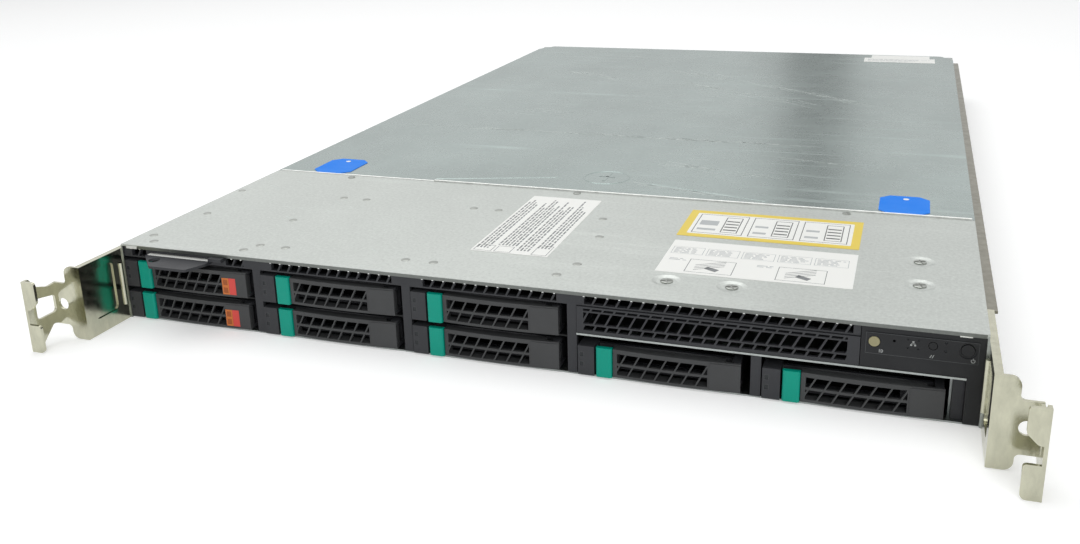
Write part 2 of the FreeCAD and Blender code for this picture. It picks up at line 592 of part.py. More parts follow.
def cells(name, x, y, z, pitch, bar, lean, rails=(), start="0"):
    """The open cells of a grille: a window less its slanted bars and its level rails."""
    window = block(name + "_window", x, y, z)
    height = "(%s) - (%s)" % (z[1], z[0])
    depth = "(%s) - (%s)" % (y[1], y[0])
    bars = []
    for number in range(grille_bars(x, z, pitch, lean)):
        place = "(%s) + (%s) * (%d + %s) - (%s) * (%s)" % (x[0], pitch, number, start, lean, height)
        bars.append(slanted_bar("%s_bar_%d" % (name, number), place, y[1], z[0],
                                bar, depth, height, lean))
    for number, (low, high) in enumerate(rails):
        bars.append(block("%s_rail_%d" % (name, number), x, y, (low, high)))
    return carve(name, window, *bars)


def measure(text):
    """The present value of a formula, worked out by the sheet itself."""
    return float(sheet.evalExpression(formula(text)))


def grille_bars(x, z, pitch, lean):
    """How many bars cross a window, with those that lean in from its left."""
    length = measure("(%s) - (%s)" % (x[1], x[0]))
    drift = measure("(%s) * ((%s) - (%s))" % (lean, z[1], z[0]))
    return int((length + drift) / measure(pitch)) + 1


def outline_pad(name, plane, offset, depth, corners, rounds=()):
    """A flat plate: a closed outline on one of the body's own planes, padded along its normal.

    rounds lists (corner numbers, radius) for the edges that are rounded.
    """
    body = doc.addObject("PartDesign::Body", name)
    sketch = body.newObject("Sketcher::SketchObject", name + "_outline")
    origin_plane = [item for item in body.Origin.OriginFeatures if item.Role == plane][0]
    sketch.AttachmentSupport = (origin_plane, [""])
    sketch.MapMode = "FlatFace"
    bind(sketch, "AttachmentOffset.Base.z", offset)
    points = [FreeCAD.Vector(measure(across), measure(up), 0) for across, up in corners]
    for number, point in enumerate(points):
        after = points[(number + 1) % len(points)]
        sketch.addGeometry(Part.LineSegment(point, after), False)
    for number in range(len(points)):
        after = (number + 1) % len(points)
        sketch.addConstraint(Sketcher.Constraint("Coincident", number, 2, after, 1))
    for number, (across, up) in enumerate(corners):
        for kind, value, text in (("DistanceX", points[number].x, across),
                                  ("DistanceY", points[number].y, up)):
            label = "%s_%d" % (kind, number)
            index = sketch.addConstraint(Sketcher.Constraint(kind, -1, 1, number, 1, value))
            sketch.renameConstraint(index, label)
            bind(sketch, "Constraints." + label, text)
    pad = body.newObject("PartDesign::Pad", name + "_pad")
    pad.Profile = sketch
    bind(pad, "Length", depth)
    doc.recompute()
    for numbers, radius in rounds:
        tip = body.Tip
        stand = sketch.getGlobalPlacement()
        normal = stand.Rotation.multVec(FreeCAD.Vector(0, 0, 1))
        spots = [stand.multVec(points[number]) for number in numbers]
        round_off = body.newObject("PartDesign::Fillet", name + "_round")
        round_off.Base = (tip, [edge_at(tip.Shape, spot, normal) for spot in spots])
        bind(round_off, "Radius", radius)
        doc.recompute()
    return body


def edge_at(shape, spot, normal):
    """The name of the straight edge that leaves the sketch plane at a spot."""
    for number, edge in enumerate(shape.Edges, 1):
        ends = [vertex.Point for vertex in edge.Vertexes]
        touching = [end for end in ends if end.distanceToPoint(spot) < 1e-4]
        if touching and len(ends) == 2:
            run = ends[1] - ends[0]
            if abs(run * normal) > 0.999 * run.Length:
                return "Edge%d" % number
    raise ValueError("no edge at %s" % spot)


PIECES = []


def piece(item, name):
    """Name a finished sub-part; its Label is also the name of its file."""
    item.Label = name
    PIECES.append(item)
    return item


def mirrored(span):
    return ("-(%s)" % span[1], "-(%s)" % span[0])


def unchanged(span):
    return span


SIDES = {"left": mirrored, "right": unchanged}


def bay_left(column):
    """Left side of a drive column, counted from 0."""
    return "(first_bay + bay_pitch * %d)" % column


def post_span(column):
    """Left and right side of the post before a drive column."""
    right = "%s - post_gap" % bay_left(column)
    return ("%s - post_width" % right, right)


def cage_wall(column):
    """Left and right face of the cage wall behind the post before a drive column."""
    middle = "%s - post_gap - post_width / 2" % bay_left(column)
    return ("%s - sheet / 2" % middle, "%s + sheet / 2" % middle)


BAYS = [(column, row) for row in (0, 1) for column in range(3)] + [(3, 0), (4, 0)]


# ------------------------------------------------------------------ chassis and covers

STANDOFFS = [("%s * board_left * %s" % (side, share), row)
             for side in (-1, 1) for share in ("standoff_outer", "standoff_inner")
             for row in ("standoff_front", "standoff_middle", "standoff_rear")]


def make_chassis_base():
    walls = [block("floor", ("-side_plane", "side_plane"),
                   ("front_plane + floor_setback", "rear_plane"), (0, "sheet"))]
    for side, turned in SIDES.items():
        walls.append(block("wall_" + side, turned(("wall_inside", "side_plane")),
                           ("front_plane", "rear_plane"), (0, "top_inside")))
        walls.append(block("flange_" + side, turned(("side_plane - flange_width", "side_plane")),
                           ("front_plane + cage_depth", "rear_plane"),
                           ("top_inside - sheet", "top_inside")))
    walls.append(block("rear_wall", ("-side_plane", "side_plane"),
                       ("rear_plane - sheet", "rear_plane"), (0, "top_inside")))
    for number, (across, along_y) in enumerate(STANDOFFS):
        walls.append(rod("standoff_%d" % number, "z", (across, along_y, 0),
                         "standoff_radius", "board_level"))
    through = ("rear_plane - sheet - cutter_over", "rear_plane + cutter_over")
    openings = [block("supply_opening",
                      ("supply_left - supply_pitch - supply_gap",
                       "supply_left + supply_width + supply_gap"),
                      through, ("sheet", "sheet + supply_height + supply_gap * 2")),
                block("card_opening", ("card_left", "card_left + card_width"), through,
                      ("card_level", "card_level + card_slot"))]
    for side, turned in SIDES.items():
        openings.append(block("guide_notch_" + side,
                              turned(("cover_guide_plane - cover_sheet - fit_gap",
                                      "cover_guide_plane + fit_gap")), through,
                              ("top_inside - cover_guide - fit_gap", "chassis_height")))
    for name, left, width, height in PORTS:
        edge = "port_wall + fit_gap"
        openings.append(block(name + "_opening",
                              ("%s - (%s)" % (port_left(left), edge),
                               "%s + %s + (%s)" % (port_left(left), width, edge)), through,
                              ("board_top", "board_top + port_wall * 2 + %s + fit_gap" % height)))
    vent_room = "supply_left - supply_pitch - card_left - card_width - rear_vent_start * 2"
    for number in range(int(measure(vent_room) / measure("rear_vent_pitch"))):
        place = "card_left + card_width + rear_vent_start + rear_vent_pitch * %d" % number
        openings.append(block("rear_vent_%d" % number,
                              (place, "%s + rear_vent_width" % place), through,
                              ("rear_vent_bottom", "rear_vent_bottom + rear_vent_height")))
    return carve("chassis_base", join("chassis_blank", *walls), *openings)


def port_left(distance):
    return "(%s - wall_inside)" % distance


DIMPLES = (("low_bay_left + 36.9", "front_plane + 25.3"), ("low_bay_left + 67.8", "front_plane + 25.3"),
           ("side_plane - 27.7", "front_plane + 82.6"), ("side_plane - 27.7", "front_plane + 50.3"))


def make_front_top_panel():
    level = ("chassis_height - cover_sheet", "chassis_height")
    sheet_metal = [
        block("top_sheet", ("-side_plane", "side_plane"), ("front_plane", "seam_plane"), level),
        block("top_lip", ("lip_cut - side_plane", "wall_inside"),
              ("front_plane", "front_plane + cover_sheet"), ("chassis_height - lip_height", level[1])),
        block("top_tongue",
              ("flange_width + tongue_inset - side_plane", "side_plane - flange_width - tongue_inset"),
              ("seam_plane - tongue_depth / 2", "seam_plane + tongue_depth"),
              ("chassis_height - cover_sheet - sheet", "chassis_height - cover_sheet"))]
    dishes = [cone("dimple_%d" % number, "z", (across, along_y, "chassis_height - dimple_depth"),
                   "dimple_floor", "dimple_radius", "dimple_depth")
              for number, (across, along_y) in enumerate(DIMPLES)]
    return carve("front_top_panel", join("top_panel_blank", *sheet_metal), *dishes)


def make_rear_cover():
    start = "seam_plane + seam"
    cut = "side_plane - corner_cut"
    plate = outline_pad("cover_plate", "XY_Plane", "chassis_height - cover_sheet", "cover_sheet", [
        ("-side_plane", start), ("side_plane", start), ("side_plane", "rear_plane - corner_cut_depth"),
        (cut, "rear_plane"), ("-(%s)" % cut, "rear_plane"),
        ("-side_plane", "rear_plane - corner_cut_depth")], [((2, 3, 4, 5), "corner_round")])
    guides = []
    for side, turned in SIDES.items():
        guides.append(block("cover_guide_" + side,
                            turned(("cover_guide_plane - cover_sheet", "cover_guide_plane")),
                            ("seam_plane + guide_start", "rear_plane - guide_end"),
                            ("top_inside - cover_guide", "top_inside")))
    return join("rear_cover", plate, *guides)


def make_touch_pads():
    """Two blue pads with clipped corners and a small hole, stuck on the cover."""
    pads = []
    front = "seam_plane + seam + pad_setback"
    for side, turned in SIDES.items():
        low, high = turned(("side_plane - pad_edge - pad_width", "side_plane - pad_edge"))
        clip = "pad_clip"
        body = outline_pad("pad_" + side, "XY_Plane", "chassis_height", "pad_thickness", [
            (low + " + " + clip, front), (high + " - " + clip, front),
            (high, "%s + %s" % (front, clip)), (high, "%s + pad_length - %s" % (front, clip)),
            (high + " - " + clip, front + " + pad_length"), (low + " + " + clip, front + " + pad_length"),
            (low, "%s + pad_length - %s" % (front, clip)), (low, "%s + %s" % (front, clip))])
        hole = rod("pad_hole_" + side, "z", ("(%s + %s) / 2" % (low, high),
                                             front + " + pad_length - pad_hole_inset",
                                             "chassis_height - cutter_over"),
                   "pad_hole", "cutter_over * 2 + pad_thickness")
        pads.append(carve("touch_pad_" + side, body, hole))
    return group("cover_touch_pads", *pads)


# ------------------------------------------------------------------ drive bays

def make_drive_cage():
    front = "front_plane + frame_setback + frame_sheet"
    back = "front_plane + cage_depth"
    walls = []
    for column in (1, 2, 3, 4):
        top = "shelf_level" if column == 4 else "rail_bottom"
        walls.append(block("cage_wall_%d" % column, cage_wall(column), (front, back), ("sheet", top)))
    right = cage_wall(3)[1]
    shelf_top = "(first_row + row_pitch - bay_gap)"
    walls.append(block("cage_shelf", ("-wall_inside", right), (front, back),
                       (shelf_top + " - sheet", shelf_top)))
    walls.append(block("cage_top", ("-wall_inside", right), (front, back),
                       ("rail_bottom", "rail_bottom + sheet")))
    return join("drive_cage_whole", *walls)


def make_front_frame():
    depth = ("front_plane + frame_setback", "front_plane + frame_setback + frame_sheet")
    rail_end = "panel_left - fit_gap"
    solids = [block("vent_rail", ("bay_gap - wall_inside", rail_end), depth,
                    ("rail_bottom", "top_inside"))]
    for column in (1, 2, 3):
        solids.append(block("post_%d" % column, post_span(column), depth, ("sheet", "rail_bottom")))
    through = ("front_plane", "front_plane + frame_setback + frame_sheet + cutter_over")
    level = ("vent_bottom", "vent_top")
    tag_slot = block("tag_slot", ("tag_left - side_plane - fit_gap",
                                  "tag_left + tag_width + fit_gap - side_plane"), through,
                     ("tag_level - fit_gap", "tag_level + tag_sheet + fit_gap"))
    vents = [tag_slot]
    vent_right = " + carrier_width - vent_end_right"
    spans = [(bay_left(0) + " + vent_first", "tag_left - side_plane - vent_tag_gap"),
             ("tag_left + tag_width - side_plane + catch_width", bay_left(0) + vent_right),
             (bay_left(1) + " + vent_end_left", bay_left(1) + vent_right),
             (bay_left(2) + " + vent_end_left", bay_left(2) + vent_right),
             (bay_left(3) + " + vent_last_left", "panel_left - vent_last_right")]
    for number, span in enumerate(spans):
        vents.append(cells("vent_%d" % number, span, through, level, "vent_pitch", "vent_bar",
                           "cell_lean"))
    catch = block("tag_catch", ("tag_left + tag_width - side_plane",
                                "tag_left + tag_width - side_plane + catch_width"),
                  ("front_plane - catch_reach", "front_plane + frame_setback"),
                  ("tag_level + tag_sheet + fit_gap", "vent_top"))
    frame = join("front_frame_whole", carve("vented_frame", join("frame_blank", *solids), *vents), catch)
    low_post = block("post_4", post_span(4), depth, ("sheet", "shelf_level"))
    blank_left = "low_bay_wall + shelf_sheet"
    end_blank = join("bay_end_blank",
                     block("end_blank_face", (blank_left, "leg_left"),
                           ("front_plane + blank_setback", "front_plane + blank_setback + blank_sheet"),
                           ("sheet", "shelf_level - blank_gap")),
                     block("end_blank_arm", (blank_left, blank_left + " + blank_arm"),
                           ("front_plane + blank_setback", "front_plane + blank_depth"),
                           ("sheet", "shelf_level - blank_gap")))
    return group("front_frame_all", frame, low_post, end_blank)


def make_bay_shelf():
    back = "front_plane + cage_depth"
    frame_back = "front_plane + frame_setback + frame_sheet"
    level = ("shelf_level", "shelf_level + shelf_sheet")
    solids = [block("shelf_edge", (bay_left(3) + " - post_gap + bay_gap", "leg_left"),
                    ("front_plane", back), level),
              block("shelf_side", (cage_wall(3)[1], "leg_left"), (frame_back + " + bay_gap", back), level),
              block("shelf_leg", ("low_bay_wall", "low_bay_wall + shelf_sheet"),
                    ("front_plane + shelf_leg_setback", back), ("sheet", "shelf_level"))]
    tab_room = "low_bay_wall - %s - shelf_tab_start * 2" % bay_left(3)
    for number in range(int(measure(tab_room) / measure("shelf_tab * 2")) + 1):
        place = bay_left(3) + " + shelf_tab_start + shelf_tab * 2 * %d" % number
        solids.append(block("shelf_tab_%d" % number, (place, place + " + shelf_tab"),
                            ("front_plane + shelf_tab_setback", "front_plane + shelf_tab_setback + sheet"),
                            ("shelf_level - shelf_tab_height", "shelf_level")))
    return join("bay_shelf_whole", *solids)


def make_tray():
    """Carrier tray in its own bay's frame: light ledge, rails, floor, bridge and hinge lugs."""
    rail_left = "(carrier_width - drive_width) / 2 - carrier_sheet - fit_gap"
    rail_right = "carrier_width - (%s)" % rail_left
    bridge_front = "latch_depth + latch_travel + bridge_gap"
    bridge = (bridge_front, bridge_front + " + carrier_bridge")
    rail = (bridge_front, "carrier_depth")
    rail_level = ("carrier_lift", "carrier_height - rail_drop")
    pin_x = "carrier_width - pin_inset"
    lug_top = "lever_height + lever_gap"
    solids = [
        block("tray_ledge", (0, "ledge_width"), (0, bridge[1]), (0, "carrier_height")),
        block("tray_bridge", (0, rail_right), bridge, rail_level),
        block("tray_floor", (rail_left, rail_right), rail,
              ("carrier_lift", "carrier_lift + carrier_sheet")),
        block("tray_rail_left", (rail_left, "%s + carrier_sheet" % rail_left), rail, rail_level),
        block("tray_rail_right", ("%s - carrier_sheet" % rail_right, rail_right), rail, rail_level)]
    for end, low, high in (("low", "lever_lift", "lug_level"),
                           ("high", lug_top + " + bay_gap - lug_level", lug_top)):
        solids.append(rod("tray_lug_" + end, "z", (pin_x, "pin_setback", low),
                          "knuckle_radius", "%s - (%s)" % (high, low)))
        solids.append(block("tray_arm_" + end, (pin_x + " - knuckle_radius", pin_x + " + knuckle_radius"),
                            ("pin_setback", bridge[1]), (low, high)))
    solids.append(rod("tray_pin", "z", (pin_x, "pin_setback", "lever_lift"), "pin_radius",
                      lug_top + " - lever_lift - bay_gap / 2"))
    airway = block("tray_airway",
                   ("ledge_width + latch_width + airway_edge", "grille_length + ledge_width * 2"),
                   (bridge[0] + " - cutter_over", bridge[1] + " + cutter_over"),
                   ("carrier_sheet + airway_edge", rail_level[1] + " - airway_edge"))
    cuts = [airway]
    for level in ("light_low", "light_high"):
        cuts.append(block("tray_" + level, ("light_left", "light_left + light_width"),
                          ("-cutter_over", "light_depth"),
                          (level + " - light_height / 2", level + " + light_height / 2")))
    return carve("tray", join("tray_blank", *solids), *cuts)


def make_drive():
    left = "(carrier_width - drive_width) / 2"
    back = "drive_setback + drive_length"
    floor = "carrier_lift + carrier_sheet"
    plug_left = left + " + drive_plug_left"
    return join("drive",
                block("drive_case", (left, left + " + drive_width"), ("drive_setback", back),
                      (floor, floor + " + drive_height")),
                block("drive_plug", (plug_left, plug_left + " + drive_plug_width"),
                      (back, back + " + drive_plug_depth"),
                      (floor + " + drive_plug_low", floor + " + drive_plug_high")))


def make_lever():
    """Bow-fronted lever with its slanted grille, finger pad and hinge knuckle."""
    left = "(ledge_width + latch_gap + latch_width + lever_gap)"
    right = "(carrier_width - lever_right)"
    top = "lever_lift + lever_height"
    chord = "(%s - %s)" % (right, left)
    radius = "(%s * %s / (8 * lever_bow) + lever_bow / 2)" % (chord, chord)
    centre = ("(%s + %s) / 2" % (left, right), "lever_end - lever_bow + %s" % radius, 0)
    front = "lever_end - lever_bow - cutter_over"
    through = (front + " - pad_proud", "lever_depth + cutter_over")
    blank = block("lever_blank", (left, right), (front, "lever_depth"), ("lever_lift", top))
    bow = common("lever_bowed", blank, rod("lever_round", "z", centre, radius, "carrier_height"))
    pad_bow = rod("pad_round", "z", centre, radius + " + pad_proud", "carrier_height")
    pad_left = left + " + lever_side + grille_length + pad_gap"
    pad = common("lever_pad", block("pad_blank", (pad_left, right),
                                    (front + " - pad_proud", "lever_depth - hinge_skin"),
                                    ("lever_lift + pad_margin", top + " - pad_margin")), pad_bow)
    window = (left + " + lever_side", left + " + lever_side + grille_length")
    level = ("lever_lift + lever_sill", top + " - lever_head")
    middle = "(%s + %s) / 2" % level
    grille = cells("lever_cells", window, through, level, "cell_pitch", "cell_bar", "cell_lean",
                   [(middle + " - grille_rail / 2", middle + " + grille_rail / 2")],
                   start="grille_start")
    hollow = block("lever_hollow", window, ("lever_skin", through[1]), level)
    pin_x = "carrier_width - pin_inset"
    back_cut = block("lever_back_cut", (pin_x + " - hinge_room", "carrier_width"),
                     ("hinge_skin", through[1]), (0, "carrier_height"))
    knuckle_level = ("lug_level + bay_gap", top + " - lug_level")
    knuckle_length = "%s - (%s)" % (knuckle_level[1], knuckle_level[0])
    knuckle = join("lever_knuckle",
                   rod("knuckle", "z", (pin_x, "pin_setback", knuckle_level[0]), "knuckle_radius",
                       knuckle_length),
                   block("knuckle_web", (pin_x + " - knuckle_radius", pin_x + " + knuckle_radius"),
                         ("web_front", "pin_setback"), knuckle_level))
    bore = rod("knuckle_bore", "z", (pin_x, "pin_setback", 0), "pin_radius + pin_clearance",
               "carrier_height")
    face = carve("lever_face", join("lever_skin_whole", bow, pad), grille, hollow, back_cut)
    return carve("lever", join("lever_whole", face, knuckle), bore)


def make_latch():
    """Release latch: a full-height front plate with rounded sides and a lower body behind it."""
    left = "(ledge_width + latch_gap)"
    right = left + " + latch_width"
    front = "-latch_proud"
    plate_back = "latch_face - latch_proud"
    plate = outline_pad("latch_plate", "XY_Plane", "0", "carrier_height + latch_rise", [
        (left, front), (right, front), (right, plate_back), (left, plate_back)],
        [((0, 1), "latch_round")])
    body = block("latch_body", (left + " + latch_inset", right + " - latch_inset"),
                 ("latch_face / 2", "latch_depth"),
                 ("latch_body_low", "carrier_height - latch_body_drop"))
    return join("latch", plate, body)


def make_carriers():
    tray, drive, lever, latch = make_tray(), make_drive(), make_lever(), make_latch()
    for number, (column, row) in enumerate(BAYS, 1):
        for name, parts in (("drive_carrier", (tray, drive)), ("carrier_lever", (lever,)),
                            ("carrier_latch", (latch,))):
            item = group("%s_%d_group" % (name, number), *parts)
            bind_place(item, bay_left(column), "front_plane", "first_row + row_pitch * %d" % row)
            piece(item, "%s_%d" % (name, number))


# ------------------------------------------------------------------ right front: shelf, filler, controls

BUTTONS = (
    # name, centre, radius
    ("id_button", "plate_left + id_across", "plate_bottom + id_level", "id_radius"),
    ("reset_button", "plate_left + reset_across", "plate_bottom + reset_level", "reset_radius"),
    ("power_button", "plate_left + power_across", "plate_bottom + power_level", "power_radius"),
)
LIGHTS = (
    # centre of a small window from the left and the foot of the legend plate, and its radius
    (11.5, 6.7, "light_radius"),
    (17.0, 8.2, "small_light_radius"),
    (17.0, 4.3, "small_light_radius"),
    (21.2, 8.2, "small_light_radius"),
    (21.2, 4.3, "small_light_radius"),
    (32.1, 8.4, "light_radius"),
    (32.1, 4.6, "light_radius"),
)


def make_optical_filler():
    left = "(%s - post_gap + fit_gap)" % bay_left(3)
    right = "(panel_left - fit_gap)"
    low = "(shelf_level + shelf_sheet)"
    high = "(rail_bottom - fit_gap)"
    face = ("front_plane + filler_setback", "front_plane + filler_setback + filler_sheet")
    solids = [block("filler_face", (left, right), face, (low, high)),
              block("filler_arm_left", (left, left + " + filler_arm"),
                    (face[0], "front_plane + filler_depth"), (low, high)),
              block("filler_arm_right", (right + " - filler_arm", right),
                    (face[0], "front_plane + filler_depth"), (low, high))]
    through = ("front_plane - cutter_over", face[1] + " + cutter_over")
    window = (left + " + filler_frame_left", right + " - filler_frame_right")
    rows = [(low + " + filler_row_low", low + " + filler_row_low + filler_row_height"),
            (low + " + filler_middle_low", low + " + filler_middle_low + filler_middle_height"),
            (low + " + filler_top_low", high + " - filler_top_rim")]
    grilles = [cells("filler_cells_%d" % number, window, through, level, "vent_pitch", "vent_bar",
                     "cell_lean", start="%s * grille_start / 2" % number)
               for number, level in enumerate(rows)]
    return carve("optical_filler", join("filler_blank", *solids), *grilles)


def make_control_panel():
    left, right = "panel_left", "(wall_inside - bay_gap)"
    low = "(shelf_level + shelf_sheet)"
    high = "(chassis_height - lip_height)"
    wall = ("front_plane + plate_proud", "front_plane + plate_proud + panel_wall")
    deep = (wall[0], "front_plane + panel_depth")
    through = "panel_wall + plate_proud + cutter_over * 2"
    solids = [block("panel_face", (left, right), wall, (low, high)),
              block("panel_side_left", (left, left + " + panel_arm"), deep, (low, high)),
              block("panel_side_right", (right + " - panel_arm", right), deep, (low, high)),
              block("panel_leg", ("leg_left", right), wall, ("sheet", low)),
              block("panel_leg_side", (right + " - panel_arm", right), deep, ("sheet", low)),
              block("legend_plate", ("plate_left", "plate_right"), ("front_plane", wall[1]),
                    ("plate_bottom", "plate_top"))]
    for number, across in enumerate(("plate_left + boss_left", "plate_right - boss_right")):
        solids.append(rod("panel_boss_%d" % number, "y", (across, wall[0], "plate_bottom - boss_drop"),
                          "boss_radius", "control_setback - plate_proud"))
    cuts = []
    for name, across, level, radius in BUTTONS:
        cuts.append(rod(name + "_hole", "y", (across, "front_plane - cutter_over", level),
                        radius + " + button_gap", through))
    power = BUTTONS[2]
    cuts.append(rod("power_ring_groove", "y", (power[1], "front_plane - cutter_over", power[2]),
                    power[3] + " + power_ring", "cutter_over + plate_proud"))
    for number, (across, level, radius) in enumerate(LIGHTS):
        cuts.append(rod("light_hole_%d" % number, "y",
                        ("plate_left + %s" % across, "front_plane - cutter_over",
                         "plate_bottom + %s" % level), radius, through))
    return carve("control_panel_whole", join("panel_blank", *solids), *cuts)


def make_button(name, across, level, radius):
    wall_back = "front_plane + plate_proud + panel_wall"
    flange = wall_back + " + button_slack"
    return join(name + "_whole",
                rod(name + "_cap", "y", (across, "front_plane", level), radius,
                    "plate_proud + panel_wall + button_slack + button_flange"),
                rod(name + "_flange", "y", (across, flange, level), radius + " + button_lip",
                    "button_flange"),
                rod(name + "_stem", "y", (across, wall_back, level), "stem_radius", "stem_length"))


def make_control_board():
    face = "front_plane + control_setback"
    solids = [block("control_sheet",
                    ("panel_left + control_inset", "wall_inside - bay_gap - control_inset"),
                    (face, face + " + board_sheet"),
                    ("shelf_level + shelf_sheet + control_lift", "plate_top + control_rise"))]
    half = "switch_size / 2"
    for name, across, level, _ in BUTTONS:
        solids.append(block(name + "_switch",
                            ("%s - %s" % (across, half), "%s + %s" % (across, half)),
                            (face + " - switch_height", face),
                            ("%s - %s" % (level, half), "%s + %s" % (level, half))))
    return join("control_board_whole", *solids)


def make_info_tag():
    left = "(tag_left - side_plane)"
    right = "(tag_left + tag_width - side_plane)"
    front = "(front_plane - tag_drawn)"
    back = front + " + tag_length"
    plate = outline_pad("tag_plate", "XY_Plane", "tag_level", "tag_sheet", [
        (left + " + tag_clip_left", front), (right + " - tag_clip_right", front),
        (right, front + " + tag_clip_right_depth"), (right, back), (left, back),
        (left, front + " + tag_clip_left_depth")], [((0, 1), "tag_round")])
    hole = rod("tag_finger_hole", "z",
               (left + " + finger_across", front + " + finger_back", "tag_level - cutter_over"),
               "finger_hole", "tag_sheet + cutter_over * 2")
    return carve("info_tag_whole", plate, hole)


# ------------------------------------------------------------------ rack brackets and rails

def make_rack_bracket(side):
    """Plated bracket: side plate with a pressed window, face plate with the rack hole, outer flange
    with an open window, and two finger tabs folded inward from it."""
    turned = SIDES[side]
    inner = "(ear_span / 2 + ear_flange)"
    outer = "(ear_span / 2 + ear_flange + ear_sheet)"
    forward = "(ear_plane - ear_bow)"

    def across(text):
        return "-(%s)" % text if side == "left" else "(%s)" % text

    def on_side(name, low, depth, corners, rounds=()):
        high = "(%s) + (%s)" % (low, depth)
        return outline_pad(name + side, "YZ_Plane", turned((low, high))[0], depth, corners, rounds)

    def facing(name, back, corners, rounds=()):
        return outline_pad(name + side, "XZ_Plane", "-(%s)" % back, "ear_sheet", corners, rounds)

    rear = "front_plane + ear_back"
    side_plate = on_side("side_plate_", "side_plane", "ear_sheet", [
        ("ear_plane", "ear_foot"), (rear, "ear_foot"), (rear, "ear_height"), ("ear_plane", "ear_height")])
    wing = across("side_plane + ear_width")
    face = facing("face_plate_", "ear_plane + ear_sheet", [
        (across("side_plane"), "ear_foot"), (wing, "ear_foot"), (wing, "ear_step_low"),
        (across(outer), "ear_step_low"), (across(outer), "ear_step_high"), (wing, "ear_step_high"),
        (wing, "ear_height"), (across("side_plane"), "ear_height")],
        [((1, 6), "ear_round"), ((2, 5), "ear_inner_round")])
    flange = on_side("flange_plate_", inner, "ear_sheet", [
        ("ear_plane + ear_sheet", "ear_step_low"), ("ear_plane - neck_start", "ear_step_low + neck_rise"),
        ("ear_plane - neck_end", "ear_step_low + neck_rise"), (forward + " + flange_foot", "0"),
        (forward, "0"), (forward, "ear_tab_top"), (forward + " + flange_head", "ear_tab_top"),
        (forward + " + flange_shoulder", "ear_step_high + flange_shoulder_rise"),
        ("ear_plane - neck_end", "ear_step_high - neck_drop"),
        ("ear_plane - neck_start", "ear_step_high - neck_drop"),
        ("ear_plane + ear_sheet", "ear_step_high")])
    tab_in = across(outer + " - tab_width")
    high_tab = facing("high_tab_", forward + " + ear_sheet", [
        (tab_in, "ear_tab_mid + tab_slant"), (across(outer + " - tab_width + tab_slant"), "ear_tab_mid"),
        (across(outer), "ear_tab_mid"), (across(outer), "ear_tab_top"), (tab_in, "ear_tab_top")],
        [((0, 1), "tab_round"), ((4,), "tab_corner")])
    low_tab = facing("low_tab_", forward + " + ear_sheet", [
        (tab_in, "0"), (across(outer), "0"), (across(outer), "ear_tab_low"), (tab_in, "ear_tab_low")],
        [((0, 1), "tab_round"), ((3,), "tab_corner")])

    def press(name, low, depth, wall, rounding):
        front, back = "front_plane - press_front - %s" % wall, "front_plane - press_rear + %s" % wall
        foot, top = "press_low - %s" % wall, "press_high + %s" % wall
        return on_side(name, low, depth, [(front, foot), (back, foot), (back, top), (front, top)],
                       [((0, 1, 2, 3), rounding)])

    boss = press("press_boss_", "side_plane + ear_sheet / 2", "ear_sheet / 2 + press_depth",
                 "press_wall", "press_round + press_wall / 2")
    hollow = press("press_hollow_", "side_plane - cutter_over", "cutter_over + press_depth", "0",
                   "press_round")
    bead = rod("bead_" + side, "z", (across("side_plane"), "front_plane - bead_front", "bead_low"),
               "bead_radius", "bead_length")
    hem = block("hem_" + side, turned(("side_plane", "side_plane + ear_hem")), ("ear_plane", rear),
                ("ear_height - ear_sheet", "ear_height"))
    bracket = join("bracket_blank_" + side, side_plate, face, flange, high_tab, low_tab, boss, bead, hem)
    hole = rod("rack_hole_" + side, "y", (across("ear_span / 2"), "ear_plane - cutter_over", "ear_level"),
               "ear_hole", "ear_sheet + cutter_over * 2")
    foot, top = "ear_tab_low + window_low", "ear_tab_mid + window_high"
    gap = on_side("flange_window_", inner + " - cutter_over", "ear_sheet + cutter_over * 2", [
        ("ear_plane - window_rear", foot), (forward + " + window_front", foot),
        (forward + " + window_front", top), ("ear_plane - window_rear", "ear_tab_mid + window_rear_high")],
        [((0, 1, 2, 3), "window_round")])
    return carve("rack_bracket_" + side, bracket, hollow, hole, gap)


def make_inner_rails():
    rails = []
    long = ("front_plane + ear_back + rail_front_gap", "rear_plane - rail_end")
    for side, turned in SIDES.items():
        reach = turned(("side_plane", "side_plane + rail_depth"))
        solids = [block("rail_web_" + side, turned(("side_plane", "side_plane + rail_sheet")), long,
                        ("rail_level", "rail_level + rail_width")),
                  block("rail_low_lip_" + side, reach, long, ("rail_level", "rail_level + rail_sheet")),
                  block("rail_high_lip_" + side, reach, long,
                        ("rail_level + rail_width - rail_sheet", "rail_level + rail_width"))]
        rails.append(join("rail_whole_" + side, *solids))
    return group("inner_rails", *rails)


# ------------------------------------------------------------------ electronics

